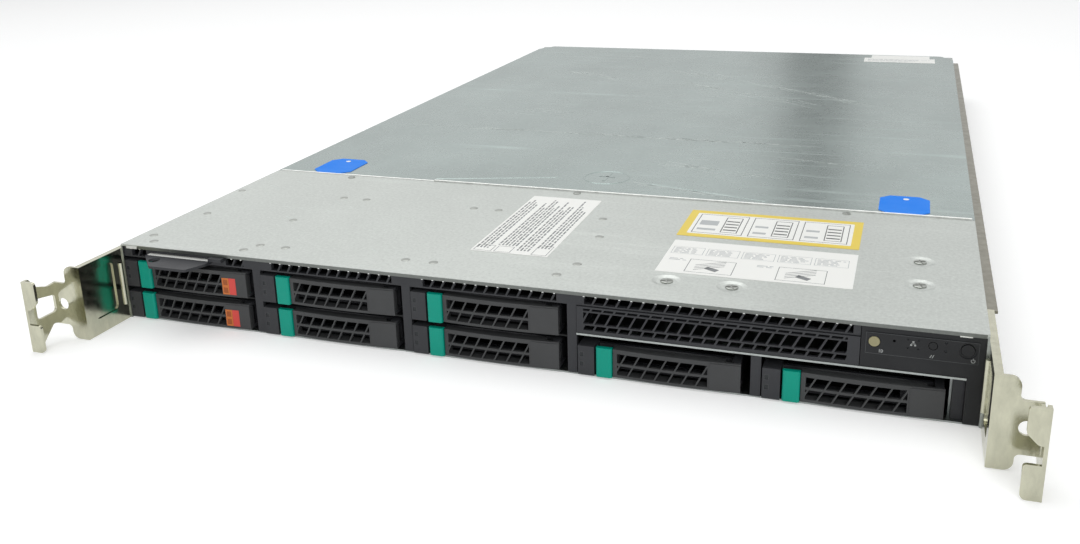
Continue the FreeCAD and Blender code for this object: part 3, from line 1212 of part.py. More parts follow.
def make_backplane():
    """Board with the drive sockets: tall behind the stacked bays, low behind the two low bays."""
    face = "front_plane + cage_depth + backplane_gap"
    depth = (face, face + " + backplane_sheet")
    split = cage_wall(3)[1]
    solids = [block("backplane_tall", ("-board_left - backplane_overhang", split), depth,
                    ("backplane_foot", "rail_bottom")),
              block("backplane_low", (split, "low_bay_wall"), depth,
                    ("backplane_foot", "shelf_level - backplane_drop"))]
    socket_back = "front_plane + drive_setback + drive_length + drive_plug_depth + socket_gap"
    for number, (column, row) in enumerate(BAYS, 1):
        plug = bay_left(column) + " + (carrier_width - drive_width) / 2 + drive_plug_left"
        floor = "first_row + row_pitch * %d + carrier_lift + carrier_sheet" % row
        solids.append(block("drive_socket_%d" % number,
                            (plug + " - socket_margin", plug + " + drive_plug_width + socket_margin"),
                            (socket_back, face),
                            (floor + " + drive_plug_low - socket_margin",
                             floor + " + drive_plug_high + socket_margin")))
    for number in range(int(measure("airflow_sockets"))):
        place = "bay_pitch * %d - board_left + airflow_start" % number
        solids.append(block("airflow_socket_%d" % number, (place, place + " + airflow_width"),
                            (depth[1], depth[1] + " + airflow_depth"), ("airflow_low", "airflow_high")))
    return join("backplane_whole", *solids)


def fan_centre(number):
    return "fan_pitch * %.1f" % (number - 2.5)


FAN_LEVEL = "(sheet + fan_clearance + fan_size / 2)"
FANS = range(6)


def make_fan_frames():
    """Six square frames, each with a bore, rear struts and a bearing tube."""
    front = "front_plane + fan_setback"
    back = front + " + fan_depth - strut_depth"
    frames = []
    for number in FANS:
        name = "fan_%d_" % (number + 1)
        centre = fan_centre(number)

        def about(middle, half):
            return ("%s - %s" % (middle, half), "%s + %s" % (middle, half))

        square = block(name + "square", about(centre, "fan_size / 2"), (front, front + " + fan_depth"),
                       about(FAN_LEVEL, "fan_size / 2"))
        bored = carve(name + "bored", square,
                      rod(name + "bore", "y", (centre, front + " - cutter_over", FAN_LEVEL), "fan_bore",
                          "fan_depth + cutter_over * 2"))
        strut = (back, back + " + strut_depth")
        reach = "(fan_bore + strut_width / 4)"
        struts = [block(name + "strut_level", about(centre, reach), strut,
                        about(FAN_LEVEL, "strut_width / 2")),
                  block(name + "strut_upright", about(centre, "strut_width / 2"), strut,
                        about(FAN_LEVEL, reach)),
                  rod(name + "hub_plate", "y", (centre, back, FAN_LEVEL), "hub_radius", "strut_depth"),
                  rod(name + "bearing_tube", "y", (centre, back + " - bearing_length", FAN_LEVEL),
                      "shaft_radius + bearing_wall", "bearing_length + cutter_over")]
        bearing = rod(name + "bearing", "y",
                      (centre, back + " - bearing_length - cutter_over", FAN_LEVEL),
                      "shaft_radius + shaft_clearance",
                      "bearing_length + strut_depth + cutter_over * 2")
        frames.append(carve(name + "frame", join(name + "body", bored, *struts), bearing))
    return group("fan_frames", *frames)


def make_fan_rotor(number):
    name = "rotor_%d_" % (number + 1)
    front = "front_plane + fan_setback + rotor_setback"
    centre = fan_centre(number)
    blade_tip = "fan_bore - blade_gap"
    hub = carve(name + "cup",
                rod(name + "hub", "y", (centre, front, FAN_LEVEL), "hub_radius", "rotor_depth"),
                rod(name + "hollow", "y", (centre, front + " + hub_cap", FAN_LEVEL),
                    "hub_radius - hub_wall", "rotor_depth"))
    shaft = rod(name + "shaft", "y", (centre, front, FAN_LEVEL), "shaft_radius", "shaft_length")
    twist = FreeCAD.Rotation(FreeCAD.Vector(1, 0, 0), -measure("blade_pitch"))
    start = FreeCAD.Vector(measure("hub_radius - blade_root"), 0, 0)
    middle = twist.multVec(FreeCAD.Vector(0, measure("blade_sheet / 2"), measure("blade_chord / 2")))
    blades = []
    count = int(measure("blades"))
    for turn in range(count):
        blade = doc.addObject("Part::Box", name + "blade_%d" % turn)
        bind(blade, "Length", blade_tip + " - hub_radius + blade_root")
        bind(blade, "Width", "blade_sheet")
        bind(blade, "Height", "blade_chord")
        spin = FreeCAD.Rotation(FreeCAD.Vector(0, 1, 0), 360.0 / count * turn)
        blade.Placement = FreeCAD.Placement(spin.multVec(start - middle), spin.multiply(twist))
        blades.append(blade)
    fan = join(name + "blades", *blades)
    bind_place(fan, centre, front + " + rotor_depth / 2", FAN_LEVEL)
    tips = rod(name + "tips", "y", (centre, front, FAN_LEVEL), blade_tip, "rotor_depth")
    return join(name + "whole", hub, shaft, common(name + "trimmed", fan, tips))


MODULES = [(side, bank, slot) for side in (-1, 1) for bank in (-1, 1) for slot in range(4)]


def module_place(side, bank, slot):
    """Middle of a memory module, across the board."""
    return "sink_offset * %d + (sink_size / 2 + dimm_start + dimm_pitch * %d) * %d" % (side, slot, bank)


CHIPS = (
    # middle across and along the board, width, length, height
    ("board_left * -0.293", 190, 38, 38, 9), ("board_left * -0.732", 120, 30, 30, 3),
    ("board_left * 0.098", 130, 24, 50, 6), ("board_left * 0.732", 100, 20, 60, 10),
    ("board_left * -0.098", 250, 44, 20, 5), ("20 - board_left", -128, 14, 32, 8),
    ("board_left - 25", -128, 14, 32, 8),
)


def make_server_board():
    board = [block("board_front_part", ("-board_left", "board_left"), ("-board_front", "board_step"),
                   ("board_level", "board_top")),
             block("board_rear_part", ("-board_left", "supply_left - supply_pitch - board_supply_gap"),
                   ("board_step", "rear_plane - board_rear"), ("board_level", "board_top"))]
    reach = "dimm_length / 2 + socket_end"
    for number, (side, bank, slot) in enumerate(MODULES):
        middle = module_place(side, bank, slot)
        board.append(block("memory_socket_%d" % number,
                           (middle + " - socket_width / 2", middle + " + socket_width / 2"),
                           ("-(%s) - board_rise" % reach, "%s - board_rise" % reach),
                           ("board_top", "board_top + socket_height")))
    for number, (across, along_y, width, length, height) in enumerate(CHIPS):
        board.append(block("board_chip_%d" % number,
                           ("%s - %s" % (across, width / 2), "%s + %s" % (across, width / 2)),
                           (along_y - length / 2, along_y + length / 2),
                           ("board_top", "board_top + %s" % height)))
    return join("server_board_whole", *board)


def make_heatsinks():
    sinks = []
    for side in (-1, 1):
        name = "sink_%s_" % ("left" if side < 0 else "right")
        middle = "sink_offset * %d" % side
        start = middle + " - sink_size / 2"
        depth = ("-sink_size / 2 - board_rise", "sink_size / 2 - board_rise")
        low = "board_top + processor_height"
        fins = [block(name + "base", (start, middle + " + sink_size / 2"), depth,
                      (low, low + " + sink_base")),
                block(name + "processor", (middle + " - processor / 2", middle + " + processor / 2"),
                      ("-processor / 2 - board_rise", "processor / 2 - board_rise"), ("board_top", low))]
        for number in range(int(measure("sink_fins"))):
            place = "%s + (sink_size - fin_sheet) * %d / (sink_fins - 1)" % (start, number)
            fins.append(block(name + "fin_%d" % number, (place, place + " + fin_sheet"), depth,
                              (low + " + sink_base", low + " + sink_height")))
        sinks.append(join(name + "whole", *fins))
    return group("heatsinks", *sinks)


def make_memory_modules():
    modules = []
    foot = "board_top + socket_height"
    for number, (side, bank, slot) in enumerate(MODULES):
        middle = module_place(side, bank, slot)
        modules.append(block("module_%d" % number,
                             (middle + " - dimm_sheet / 2", middle + " + dimm_sheet / 2"),
                             ("-dimm_length / 2 - board_rise", "dimm_length / 2 - board_rise"),
                             (foot, foot + " + dimm_height")))
    return group("memory_modules", *modules)


def make_air_duct():
    span = ("-board_left", "board_left")
    depth = ("-board_front + duct_setback", "dimm_length / 2 + duct_overhang - board_rise")
    level = ("duct_level", "duct_level + duct_sheet")
    solids = [block("duct_roof", span, depth, level)]
    for number, low in enumerate(("-board_left", "board_left - duct_sheet", "-duct_sheet / 2")):
        solids.append(block("duct_wall_%d" % number, (low, low + " + duct_sheet"), depth,
                            ("board_top", "duct_level")))
    return join("air_duct_whole", *solids)


def make_riser_card():
    """Expansion card lying flat on an upright riser, with its rear bracket."""
    card = ("card_level + card_step", "card_level + card_step + board_sheet")
    riser = "card_left + card_width - card_riser"
    front = "rear_plane - card_front"
    back = "rear_plane - sheet"
    chip = ("card_left + card_chip_left", "rear_plane - card_chip_front")
    solids = [block("card_sheet", ("card_left + card_margin", riser), (front, back + " - card_bracket"),
                    card),
              block("riser_sheet", (riser, riser + " + board_sheet"), (front, "rear_plane - riser_rear"),
                    ("board_top", "card_level + riser_top")),
              block("card_bracket_sheet", ("card_left + card_bracket_margin",
                                           "card_left + card_width - card_bracket_margin"),
                    (back + " - card_bracket", back),
                    ("card_level - card_bracket_drop", "card_level + card_slot + card_bracket_rise")),
              block("card_chip_block", (chip[0], chip[0] + " + card_chip"),
                    (chip[1], chip[1] + " + card_chip"), (card[1], card[1] + " + card_chip_height"))]
    slits = []
    for number in range(int(measure("card_slits"))):
        place = "card_left + card_slit_start + card_slit_pitch * %d" % number
        low = "card_level + card_slit_low"
        slits.append(block("bracket_slit_%d" % number, (place, place + " + card_slit_width"),
                           (back + " - card_bracket - cutter_over", back + " + cutter_over"),
                           (low, low + " + card_slit_height")))
    return carve("riser_card_whole", join("riser_blank", *solids), *slits)


def make_rear_ports():
    shells = []
    for name, left, width, height in PORTS:
        low = "board_top"
        place = port_left(left)
        outer = block(name + "_outer", (place + " - port_wall", "%s + %s + port_wall" % (place, width)),
                      ("rear_plane - port_shell", "rear_plane + port_proud"),
                      (low, "%s + %s + port_wall * 2" % (low, height)))
        hollow = block(name + "_hollow", (place, "%s + %s" % (place, width)),
                       ("rear_plane - port_depth", "rear_plane + port_proud + cutter_over"),
                       (low + " + port_wall", "%s + port_wall + %s" % (low, height)))
        shells.append(carve(name + "_shell", outer, hollow))
    return group("rear_ports", *shells)


# ------------------------------------------------------------------ power supply

SUPPLY_LEVEL = "(sheet + supply_gap / 2)"


def make_power_supply():
    """Power supply with its mains inlet, fan guard, handle and the hollow of its release tab."""
    right = "supply_left + supply_width"
    top = SUPPLY_LEVEL + " + supply_height"
    beyond = "supply_back + cutter_over"
    case = block("supply_case", ("supply_left", right), ("supply_back - supply_length", "supply_back"),
                 (SUPPLY_LEVEL, top))
    inlet_left = right + " - inlet_width - inlet_right"
    inlet_floor = SUPPLY_LEVEL + " + inlet_low"
    inlet = block("inlet_hollow", (inlet_left, inlet_left + " + inlet_width"),
                  ("supply_back - inlet_depth", beyond), (inlet_floor, inlet_floor + " + inlet_height"))
    fan = ("supply_left + supply_fan", SUPPLY_LEVEL + " + supply_height / 2")
    floor = "supply_back - supply_fan_depth"

    def fan_disc(name, front, radius, length):
        return rod(name, "y", (fan[0], front, fan[1]), radius, length)

    fan_well = fan_disc("supply_fan_well", floor, "supply_fan_radius", "supply_fan_depth + cutter_over")
    low = floor + " - guard_sheet / 4"
    guard = [fan_disc("guard_hub_disc", low, "guard_hub", "guard_sheet * 1.5")]
    for number in range(2):
        radius = "guard_ring + guard_pitch * %d" % number
        guard.append(carve("guard_ring_%d" % number,
                           fan_disc("guard_disc_%d" % number, low, radius, "guard_sheet * 1.5"),
                           fan_disc("guard_gap_%d" % number, low + " - cutter_over",
                                    radius + " - guard_wire", "guard_sheet * 2 + cutter_over * 2")))
    long, thin = "(supply_fan_radius + guard_reach)", "guard_wire / 2"
    for number, (wide, high) in enumerate(((long, thin), (thin, long))):
        guard.append(block("guard_spoke_%d" % number,
                           ("%s - %s" % (fan[0], wide), "%s + %s" % (fan[0], wide)),
                           (low, low + " + guard_sheet"),
                           ("%s - %s" % (fan[1], high), "%s + %s" % (fan[1], high))))
    latch_room = block("latch_room", (right + " - latch_room_left", right + " - latch_room_right"),
                       ("supply_back - latch_room_depth", beyond),
                       (top + " - latch_room_low", top + " - latch_room_high"))
    body = carve("supply_hollowed", case, inlet, fan_well, latch_room)
    blades = []
    for number, (side, up) in enumerate(((-1, "inlet_blade_high"), (1, "inlet_blade_high"),
                                         (0, "inlet_blade_low"))):
        place = "%s + inlet_width / 2 + inlet_blade_pitch * %d" % (inlet_left, side)
        middle = "%s + %s" % (inlet_floor, up)
        blades.append(block("inlet_blade_%d" % number,
                            (place + " - inlet_blade_width / 2", place + " + inlet_blade_width / 2"),
                            ("supply_back - inlet_depth - inlet_blade_root",
                             "supply_back - inlet_blade_back"),
                            (middle + " - inlet_blade_height / 2", middle + " + inlet_blade_height / 2")))
    grip = ("supply_left + handle_left", "supply_left + handle_left + handle_width")
    tall = (SUPPLY_LEVEL + " + handle_inset", top + " - handle_inset")
    handle = carve("supply_handle",
                   block("handle_block", grip, ("supply_back", "supply_back + handle_reach"), tall),
                   block("handle_gap", (grip[0] + " - cutter_over", grip[1] + " + cutter_over"),
                         ("supply_back - cutter_over", "supply_back + handle_reach - handle_bar"),
                         (tall[0] + " + handle_bar", tall[1] + " - handle_bar")))
    return join("power_supply_whole", body, handle, *(guard + blades))


def make_supply_latch():
    """Coloured release tab of the power supply; it slides to the left."""
    left = "supply_left + supply_width - latch_room_left + supply_latch_start"
    top = SUPPLY_LEVEL + " + supply_height"
    level = (top + " - latch_room_low + supply_latch_side", top + " - latch_room_high - supply_latch_side")
    front = "supply_back - latch_room_depth + supply_latch_gap"
    return join("supply_latch_whole",
                block("supply_latch_foot", (left, left + " + supply_latch_width"),
                      (front, "supply_back"), level),
                block("supply_latch_bar", (left, left + " + supply_latch_tab"),
                      (front, "supply_back + supply_latch_reach"), level))


def make_supply_blank():
    left = "supply_left - supply_pitch"
    right = left + " + supply_width"
    level = (SUPPLY_LEVEL, SUPPLY_LEVEL + " + supply_height")
    arms = [block("blank_arm_%d" % number, (low, low + " + blank_side"),
                  ("rear_plane - blank_reach", "rear_plane"), level)
            for number, low in enumerate((left, right + " - blank_side"))]
    return join("supply_blank_whole",
                block("blank_face", (left, right), ("rear_plane", "rear_plane + spare_sheet"), level),
                *arms)


# ------------------------------------------------------------------ fasteners and cables

RIVETS = (
    # middle of each single rivet head, across and along the panel
    ("4.5 - side_plane", "front_plane + 107"), ("12.5 - side_plane", "front_plane + 60"),
    ("8 - side_plane", "front_plane + 17.5"), ("15 - side_plane", "front_plane + 8.8"),
    ("70 - side_plane", "front_plane + 61.5"), ("72 - side_plane", "front_plane + 9.4"),
    ("22.5", "front_plane + 108.4"), ("29.3", "front_plane + 78.2"),
    ("30.3", "front_plane + 34.9"), ("24.9", "front_plane + 18.4"),
    ("58 - side_plane", "seam_plane - 4.6"), ("-6.6", "seam_plane - 3.5"),
    ("side_plane - 67", "seam_plane - 4.6"),
)


def make_fasteners():
    """Rivet and screw heads, each a separate solid."""
    heads = []

    def rivet(across, along_y):
        heads.append(cone("head_%d" % len(heads), "z", (across, along_y, "chassis_height"), "rivet_head",
                          "rivet_head * rivet_top", "rivet_height"))

    def side_head(name, side, foot, along_y, level, radius):
        start = foot if side == "right" else "-(%s) - side_screw_height" % foot
        heads.append(rod(name, "x", (start, along_y, level), radius, "side_screw_height"))

    for column in (1, 2):
        middle = "%s - post_gap - post_width / 2" % bay_left(column)
        for along_y in ("front_plane + post_rivet_front", "front_plane + post_rivet_rear"):
            for side in (-1, 1):
                rivet("%s + post_rivet_side * %d" % (middle, side), along_y)
    for across, along_y in RIVETS:
        rivet(across, along_y)
    for number, (across, along_y) in enumerate(DIMPLES):
        heads.append(cone("panel_screw_%d" % number, "z",
                          (across, along_y, "chassis_height - dimple_depth"), "panel_screw",
                          "panel_screw_top", "dimple_depth"))
    for side in SIDES:
        for number in range(2):
            side_head("bracket_screw_%s_%d" % (side, number), side, "side_plane + ear_sheet",
                      "front_plane + side_screw_start + side_screw_pitch * %d" % number,
                      "ear_height / 2", "side_screw")
        for number in range(4):
            side_head("rail_rivet_%s_%d" % (side, number), side, "side_plane + rail_sheet",
                      "front_plane + ear_back + rail_rivet_start + rail_rivet_pitch * %d" % number,
                      "rail_level + rail_width / 2", "rail_rivet")
    return group("rivets_and_screws", *heads)


def cable(name, points, radius, bend):
    """A held cable: straight runs joined by tangent arcs through hand-set points."""
    radius, bend = measure(radius), measure(bend)
    spots = [FreeCAD.Vector(*[measure(text) for text in point]) for point in points]
    edges = []
    start = spots[0]
    for before, corner, after in zip(spots, spots[1:], spots[2:]):
        into = (corner - before).normalize()
        out = (after - corner).normalize()
        half = into.getAngle(out) / 2
        trim = bend * math.tan(half)
        enter, leave = corner - into * trim, corner + out * trim
        middle_way = (out - into).normalize()
        height = bend / math.cos(half)
        middle = corner + middle_way * (height - bend)
        edges.append(Part.LineSegment(start, enter).toShape())
        edges.append(Part.Arc(enter, middle, leave).toShape())
        start = leave
    edges.append(Part.LineSegment(start, spots[-1]).toShape())
    path = Part.Wire(edges)
    first = edges[0]
    ring = Part.Wire(Part.Circle(spots[0], first.tangentAt(first.FirstParameter), radius).toShape())
    tube = doc.addObject("Part::Feature", name)
    tube.Shape = path.makePipeShell([ring], True, False)
    return tube


def make_cables():
    """Control cable down the right side, data cable from the backplane down the left side."""
    side_run = "leg_left + control_cable_side"
    level = "shelf_level + control_cable_rise"
    low = "board_top + cable_rise"
    plug = ("board_left - plug_inset", "plug_setback - board_front")
    control = cable("control_cable", [
        (side_run, "front_plane + control_setback + board_sheet", level),
        (side_run, "front_plane + 60", level),
        (side_run, "front_plane + 92", low),
        (side_run, "plug_setback - board_front - 6", low),
        plug + (low,), plug + ("board_top",)], "control_cable", "control_cable_bend")
    start = "data_cable_left - board_left"
    beside = "-board_left - data_cable_side"
    socket_back = "front_plane + cage_depth + backplane_gap + backplane_sheet + airflow_depth"
    plug = ("plug_inset - board_left", "plug_setback - board_front - 4")
    data = cable("data_cable", [
        (start, socket_back, "data_cable_level"),
        (start, socket_back + " + 12", "data_cable_level"),
        (beside, socket_back + " + 20", low),
        (beside, "plug_setback - board_front - 12", low),
        plug + (low,), plug + ("board_top",)], "data_cable", "data_cable_bend")
    return group("cables", control, data)


# ------------------------------------------------------------------ build and write

piece(make_chassis_base(), "chassis_base")
piece(make_front_top_panel(), "front_top_panel")
piece(make_rear_cover(), "rear_cover")
piece(make_touch_pads(), "cover_touch_pads")
piece(make_drive_cage(), "drive_cage")
piece(make_front_frame(), "front_frame")
piece(make_bay_shelf(), "bay_shelf")
piece(make_optical_filler(), "optical_bay_filler")
piece(make_control_panel(), "control_panel")
piece(make_control_board(), "control_board")
for button in BUTTONS:
    piece(make_button(*button), button[0])
piece(make_info_tag(), "info_tag")
for side_name in SIDES:
    piece(make_rack_bracket(side_name), "rack_bracket_" + side_name)
piece(make_inner_rails(), "inner_rails")
make_carriers()
piece(make_backplane(), "drive_backplane")
piece(make_fan_frames(), "fan_frames")
for fan_number in FANS:
    piece(make_fan_rotor(fan_number), "fan_rotor_%d" % (fan_number + 1))
piece(make_server_board(), "server_board")
piece(make_heatsinks(), "heatsinks")
piece(make_memory_modules(), "memory_modules")
piece(make_air_duct(), "air_duct")
piece(make_riser_card(), "riser_card")
piece(make_rear_ports(), "rear_ports")
piece(make_power_supply(), "power_supply")
piece(make_supply_latch(), "supply_latch")
piece(make_supply_blank(), "supply_blank")
piece(make_fasteners(), "rivets_and_screws")
piece(make_cables(), "cables")

doc.recompute()
for item in doc.Objects:
    if "Invalid" in item.State or "Error" in item.State:
        raise RuntimeError("%s did not build: %s" % (item.Label, item.State))
for item in PIECES:
    if item.Shape.isNull() or not item.Shape.isValid() or not item.Shape.Solids:
        raise RuntimeError("%s has no valid solid" % item.Label)
os.makedirs("parts", exist_ok=True)
for item in PIECES:
    item.Shape.exportStep(os.path.join("parts", item.Label + ".step"))
print("%d pieces, %d solids" % (len(PIECES), sum(len(item.Shape.Solids) for item in PIECES)))
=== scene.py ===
import math
import random

import bmesh
import bpy
from mathutils import Matrix, Vector


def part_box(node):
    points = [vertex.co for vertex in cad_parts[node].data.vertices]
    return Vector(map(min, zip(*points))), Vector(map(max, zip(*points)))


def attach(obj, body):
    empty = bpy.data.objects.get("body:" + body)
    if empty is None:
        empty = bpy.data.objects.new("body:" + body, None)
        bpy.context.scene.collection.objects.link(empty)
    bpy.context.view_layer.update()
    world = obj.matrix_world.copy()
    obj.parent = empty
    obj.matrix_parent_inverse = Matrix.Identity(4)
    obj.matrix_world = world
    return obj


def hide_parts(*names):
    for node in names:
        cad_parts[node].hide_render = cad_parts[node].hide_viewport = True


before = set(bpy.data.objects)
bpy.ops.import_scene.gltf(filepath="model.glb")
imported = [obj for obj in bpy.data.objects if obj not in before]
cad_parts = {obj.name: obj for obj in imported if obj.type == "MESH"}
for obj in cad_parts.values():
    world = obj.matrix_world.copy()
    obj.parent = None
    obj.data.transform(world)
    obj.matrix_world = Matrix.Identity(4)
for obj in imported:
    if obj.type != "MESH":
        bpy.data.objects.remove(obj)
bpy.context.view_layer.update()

random.seed(19)


def mm(value):
    return value * 0.001


# ------------------------------------------------------------------ places taken from the frame

chassis_low, chassis_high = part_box("chassis_base")
FRONT = chassis_low[1]
REAR = chassis_high[1]
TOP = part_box("rear_cover")[1][2]
# the cover begins where the front panel's visible sheet ends
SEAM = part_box("front_top_panel")[0][1] + mm(156.9)
CARRIERS = range(1, 9)
FAN_ROTORS = range(1, 7)


def from_front(distance):
    """Y of a place so many millimetres behind the front plane."""
    return FRONT + mm(distance)


# ------------------------------------------------------------------ node and colour helpers

def srgb(code):
    """An sRGB hex colour as the linear colour a shader wants."""
    channels = [int(code[i:i + 2], 16) / 255 for i in (1, 3, 5)]
    return [c / 12.92 if c <= 0.04045 else ((c + 0.055) / 1.055) ** 2.4
            for c in channels] + [1.0]


def shade(colour, times, plus=0.0):
    """A paler or darker tone of a linear colour."""
    return [min(1, channel * times + plus) for channel in colour[:3]] + [1]


def add(tree, kind, inputs=(), **settings):
    """Add a shader node with its settings and links. Inputs go by name or in order; each is a
    value, a socket, or a node, which gives its first output that is in use."""
    node = tree.nodes.new("ShaderNode" + kind)
    for name, value in settings.items():
        setattr(node, name, value)
    for name, value in inputs.items() if isinstance(inputs, dict) else enumerate(inputs):
        if isinstance(value, bpy.types.Node):
            value = next(socket for socket in value.outputs if socket.enabled)
        if isinstance(value, bpy.types.NodeSocket):
            tree.links.new(value, node.inputs[name])
        else:
            node.inputs[name].default_value = value
    return node


def empty_material(name):
    material = bpy.data.materials.new(name)
    material.use_nodes = True
    material.node_tree.nodes.clear()
    return material, material.node_tree


# Patterns are drawn in object coordinates, which are metres, so a noise Scale of 1 / mm(size)
# gives features about that many millimetres across. In a Mix node, input 0 is the amount and 6 and
# 7 are the two colours.

# ------------------------------------------------------------------ metals

def zinc_sheet(name, tone, cloudy, roughness, scuffs=0.0):
    """Cold-rolled steel sheet, zinc plated: satin, faintly cloudy from the bath, with a fine
    rolling grain and small crystals. Handling leaves paler scuffs across it."""
    material, tree = empty_material(name)
    place = add(tree, "TexCoord").outputs["Object"]
    base = srgb(tone)
    # size in millimetres, stretch, turn, detail and roughness of each pattern
    patterns = [("clouds", 70, (1, 0.6, 1), 0.3, 5, 0.62),
                # real rolling lines are 0.1 mm apart, drawn at 0.6 mm so that they show
                ("rolling grain", 0.6, (1, 0.02, 1), 0, 2, 0.5),
                # zinc crystals 1 to 2 mm across
                ("crystals", 1.6, (1, 0.8, 1), 0.4, 3, 0.65),
                ("fog", 18, (1, 0.8, 1), 0.8, 4, 0.6)]
    if scuffs:
        # rubs and hairlines 2 to 15 mm wide, most of them across the sheet, in patches
        patterns += [("rubs", 9, (0.05, 1, 1), 0.10, 4, 0.7),
                     ("hairs", 2.2, (0.012, 1, 1), -0.45, 3, 0.8),
                     ("patches", 130, (1, 1, 1), 0, 2, 0.5)]
    noise = {}
    for pattern, size_mm, stretch, turn, detail, rough in patterns:
        laid = add(tree, "Mapping", {"Vector": place, "Rotation": (0, 0, turn), "Scale": stretch})
        noise[pattern] = add(tree, "TexNoise", {"Vector": laid, "Scale": 1 / mm(size_mm),
                                                "Detail": detail, "Roughness": rough})
    colour = shade(base, 1 - cloudy)
    for pattern, low, high, most, layer in (
            ("clouds", 0.32, 0.68, 1, shade(base, 1 + cloudy * 0.6)),
            ("rolling grain", 0.3, 0.7, 0.12, shade(base, 0.8)),
            # some crystals are paler than the rest and some are darker
            ("crystals", 0.5, 0.72, 1, shade(base, 1.09)),
            ("crystals", 0.48, 0.28, 1, shade(base, 0.88))):
        amount = add(tree, "MapRange", [noise[pattern], low, high, 0, most])
        colour = add(tree, "Mix", {0: amount, 6: colour, 7: layer}, data_type="RGBA")
    dull = add(tree, "MapRange", [noise["fog"], 0.3, 0.7, roughness - 0.015, roughness + 0.025])
    if scuffs:
        marks = []
        for pattern, low, patch_high in (("rubs", 0.55, 0.60), ("hairs", 0.64, 0.58)):
            lines = add(tree, "MapRange", [noise[pattern], low, 0.72, 0, 1])
            patch = add(tree, "MapRange", [noise["patches"], 0.42, patch_high, 0, scuffs])
            marks.append(add(tree, "Math", [lines, patch], operation="MULTIPLY"))
        marks = add(tree, "Math", marks, operation="MAXIMUM")
        colour = add(tree, "Mix", {0: marks, 6: colour, 7: shade(base, 1.3, 0.05)},
                     data_type="RGBA")
        duller = add(tree, "MapRange", [marks, 0, 1, 0, 0.18])
        dull = add(tree, "Math", [dull, duller], operation="ADD")
    grain = add(tree, "Bump", {"Height": noise["rolling grain"], "Distance": mm(0.02),
                               "Strength": 0.35})
    add(tree, "OutputMaterial", [add(tree, "BsdfPrincipled", {
        "Base Color": colour, "Metallic": 1.0, "Roughness": dull, "Normal": grain})])
    return material


def bright_plate(name, tone, roughness):
    """Steel pressing with bright yellowish zinc plate: glossy, slightly wavy from forming, with
    darker stains from the bath."""
    material, tree = empty_material(name)
    place = add(tree, "TexCoord").outputs["Object"]
    base = srgb(tone)
    # forming waves 14 mm apart, and stains 5 mm wide that run down the sheet
    waves = add(tree, "TexNoise", {"Vector": place, "Scale": 1 / mm(14), "Detail": 3})
    laid = add(tree, "Mapping", {"Vector": place, "Scale": (1, 1, 0.4)})
    stains = add(tree, "TexNoise", {"Vector": laid, "Scale": 1 / mm(5), "Detail": 4,
                                    "Roughness": 0.65})
    amount = add(tree, "MapRange", [stains, 0.35, 0.75, 0, 1])
    add(tree, "OutputMaterial", [add(tree, "BsdfPrincipled", {
        "Base Color": add(tree, "Mix", {0: amount, 6: base, 7: shade(base, 0.8)},
                          data_type="RGBA"),
        "Metallic": 1.0,
        "Roughness": add(tree, "MapRange", [stains, 0.3, 0.7, roughness, roughness + 0.12]),
        "Normal": add(tree, "Bump", {"Height": waves, "Distance": mm(0.5), "Strength": 0.25})})])
    return material


def extruded_aluminium(name):
    """Aluminium fins as extruded: bright and satin, with die lines along their length."""
    material, tree = empty_material(name)
    place = add(tree, "TexCoord").outputs["Object"]
    # die lines are 0.2 mm apart, drawn at 0.8 mm so that they show
    laid = add(tree, "Mapping", {"Vector": place, "Scale": (1, 0.02, 1)})
    lines = add(tree, "TexNoise", {"Vector": laid, "Scale": 1 / mm(0.8)})
    amount = add(tree, "MapRange", [lines, 0.3, 0.7, 0, 1])
    add(tree, "OutputMaterial", [add(tree, "BsdfPrincipled", {
        "Base Color": add(tree, "Mix", {0: amount, 6: srgb("#C9CBCD"), 7: srgb("#B2B5B8")},
                          data_type="RGBA"),
        "Metallic": 1.0, "Roughness": 0.34,
        "Normal": add(tree, "Bump", {"Height": lines, "Distance": mm(0.03), "Strength": 0.4})})])
    return material


# ------------------------------------------------------------------ plastics, boards, paper

def moulded(name, tone, roughness, grain_mm=0.35, grain_depth_mm=0.012, worn=0.10, dusty=0.0,
            sheen=0.25):
    """Injection-moulded plastic: an even colour, a fine spark-eroded grain that breaks up the
    sheen, and a little shine where hands have rubbed it. Dusty parts carry pale specks in it."""
    material, tree = empty_material(name)
    place = add(tree, "TexCoord").outputs["Object"]
    base = srgb(tone)
    # rubbed places are as wide as a finger
    rub = add(tree, "TexNoise", {"Vector": place, "Scale": 1 / mm(16), "Detail": 4,
                                 "Roughness": 0.6})
    amount = add(tree, "MapRange", [rub, 0.3, 0.75, 0, worn * 4])
    colour = add(tree, "Mix", {0: amount, 6: base, 7: shade(base, 1.35, 0.002)}, data_type="RGBA")
    if dusty:
        # specks of dust half a millimetre wide
        specks = add(tree, "TexNoise", {"Vector": place, "Scale": 1 / mm(0.5), "Detail": 3,
                                        "Roughness": 0.7})
        amount = add(tree, "MapRange", [specks, 0.64, 0.78, 0, dusty])
        colour = add(tree, "Mix", {0: amount, 6: colour, 7: srgb("#8C8C88")}, data_type="RGBA")
    # spark-eroded grain is about 0.1 mm wide, drawn coarser so that it shows
    grain = add(tree, "TexNoise", {"Vector": place, "Scale": 1 / mm(grain_mm)})
    add(tree, "OutputMaterial", [add(tree, "BsdfPrincipled", {
        "Base Color": colour, "IOR": 1.53, "Specular IOR Level": sheen,
        "Roughness": add(tree, "MapRange", [rub, 0.3, 0.75, roughness + 0.05, roughness - worn]),
        "Normal": add(tree, "Bump", {"Height": grain, "Distance": mm(grain_depth_mm),
                                     "Strength": 0.6})})])
    return material


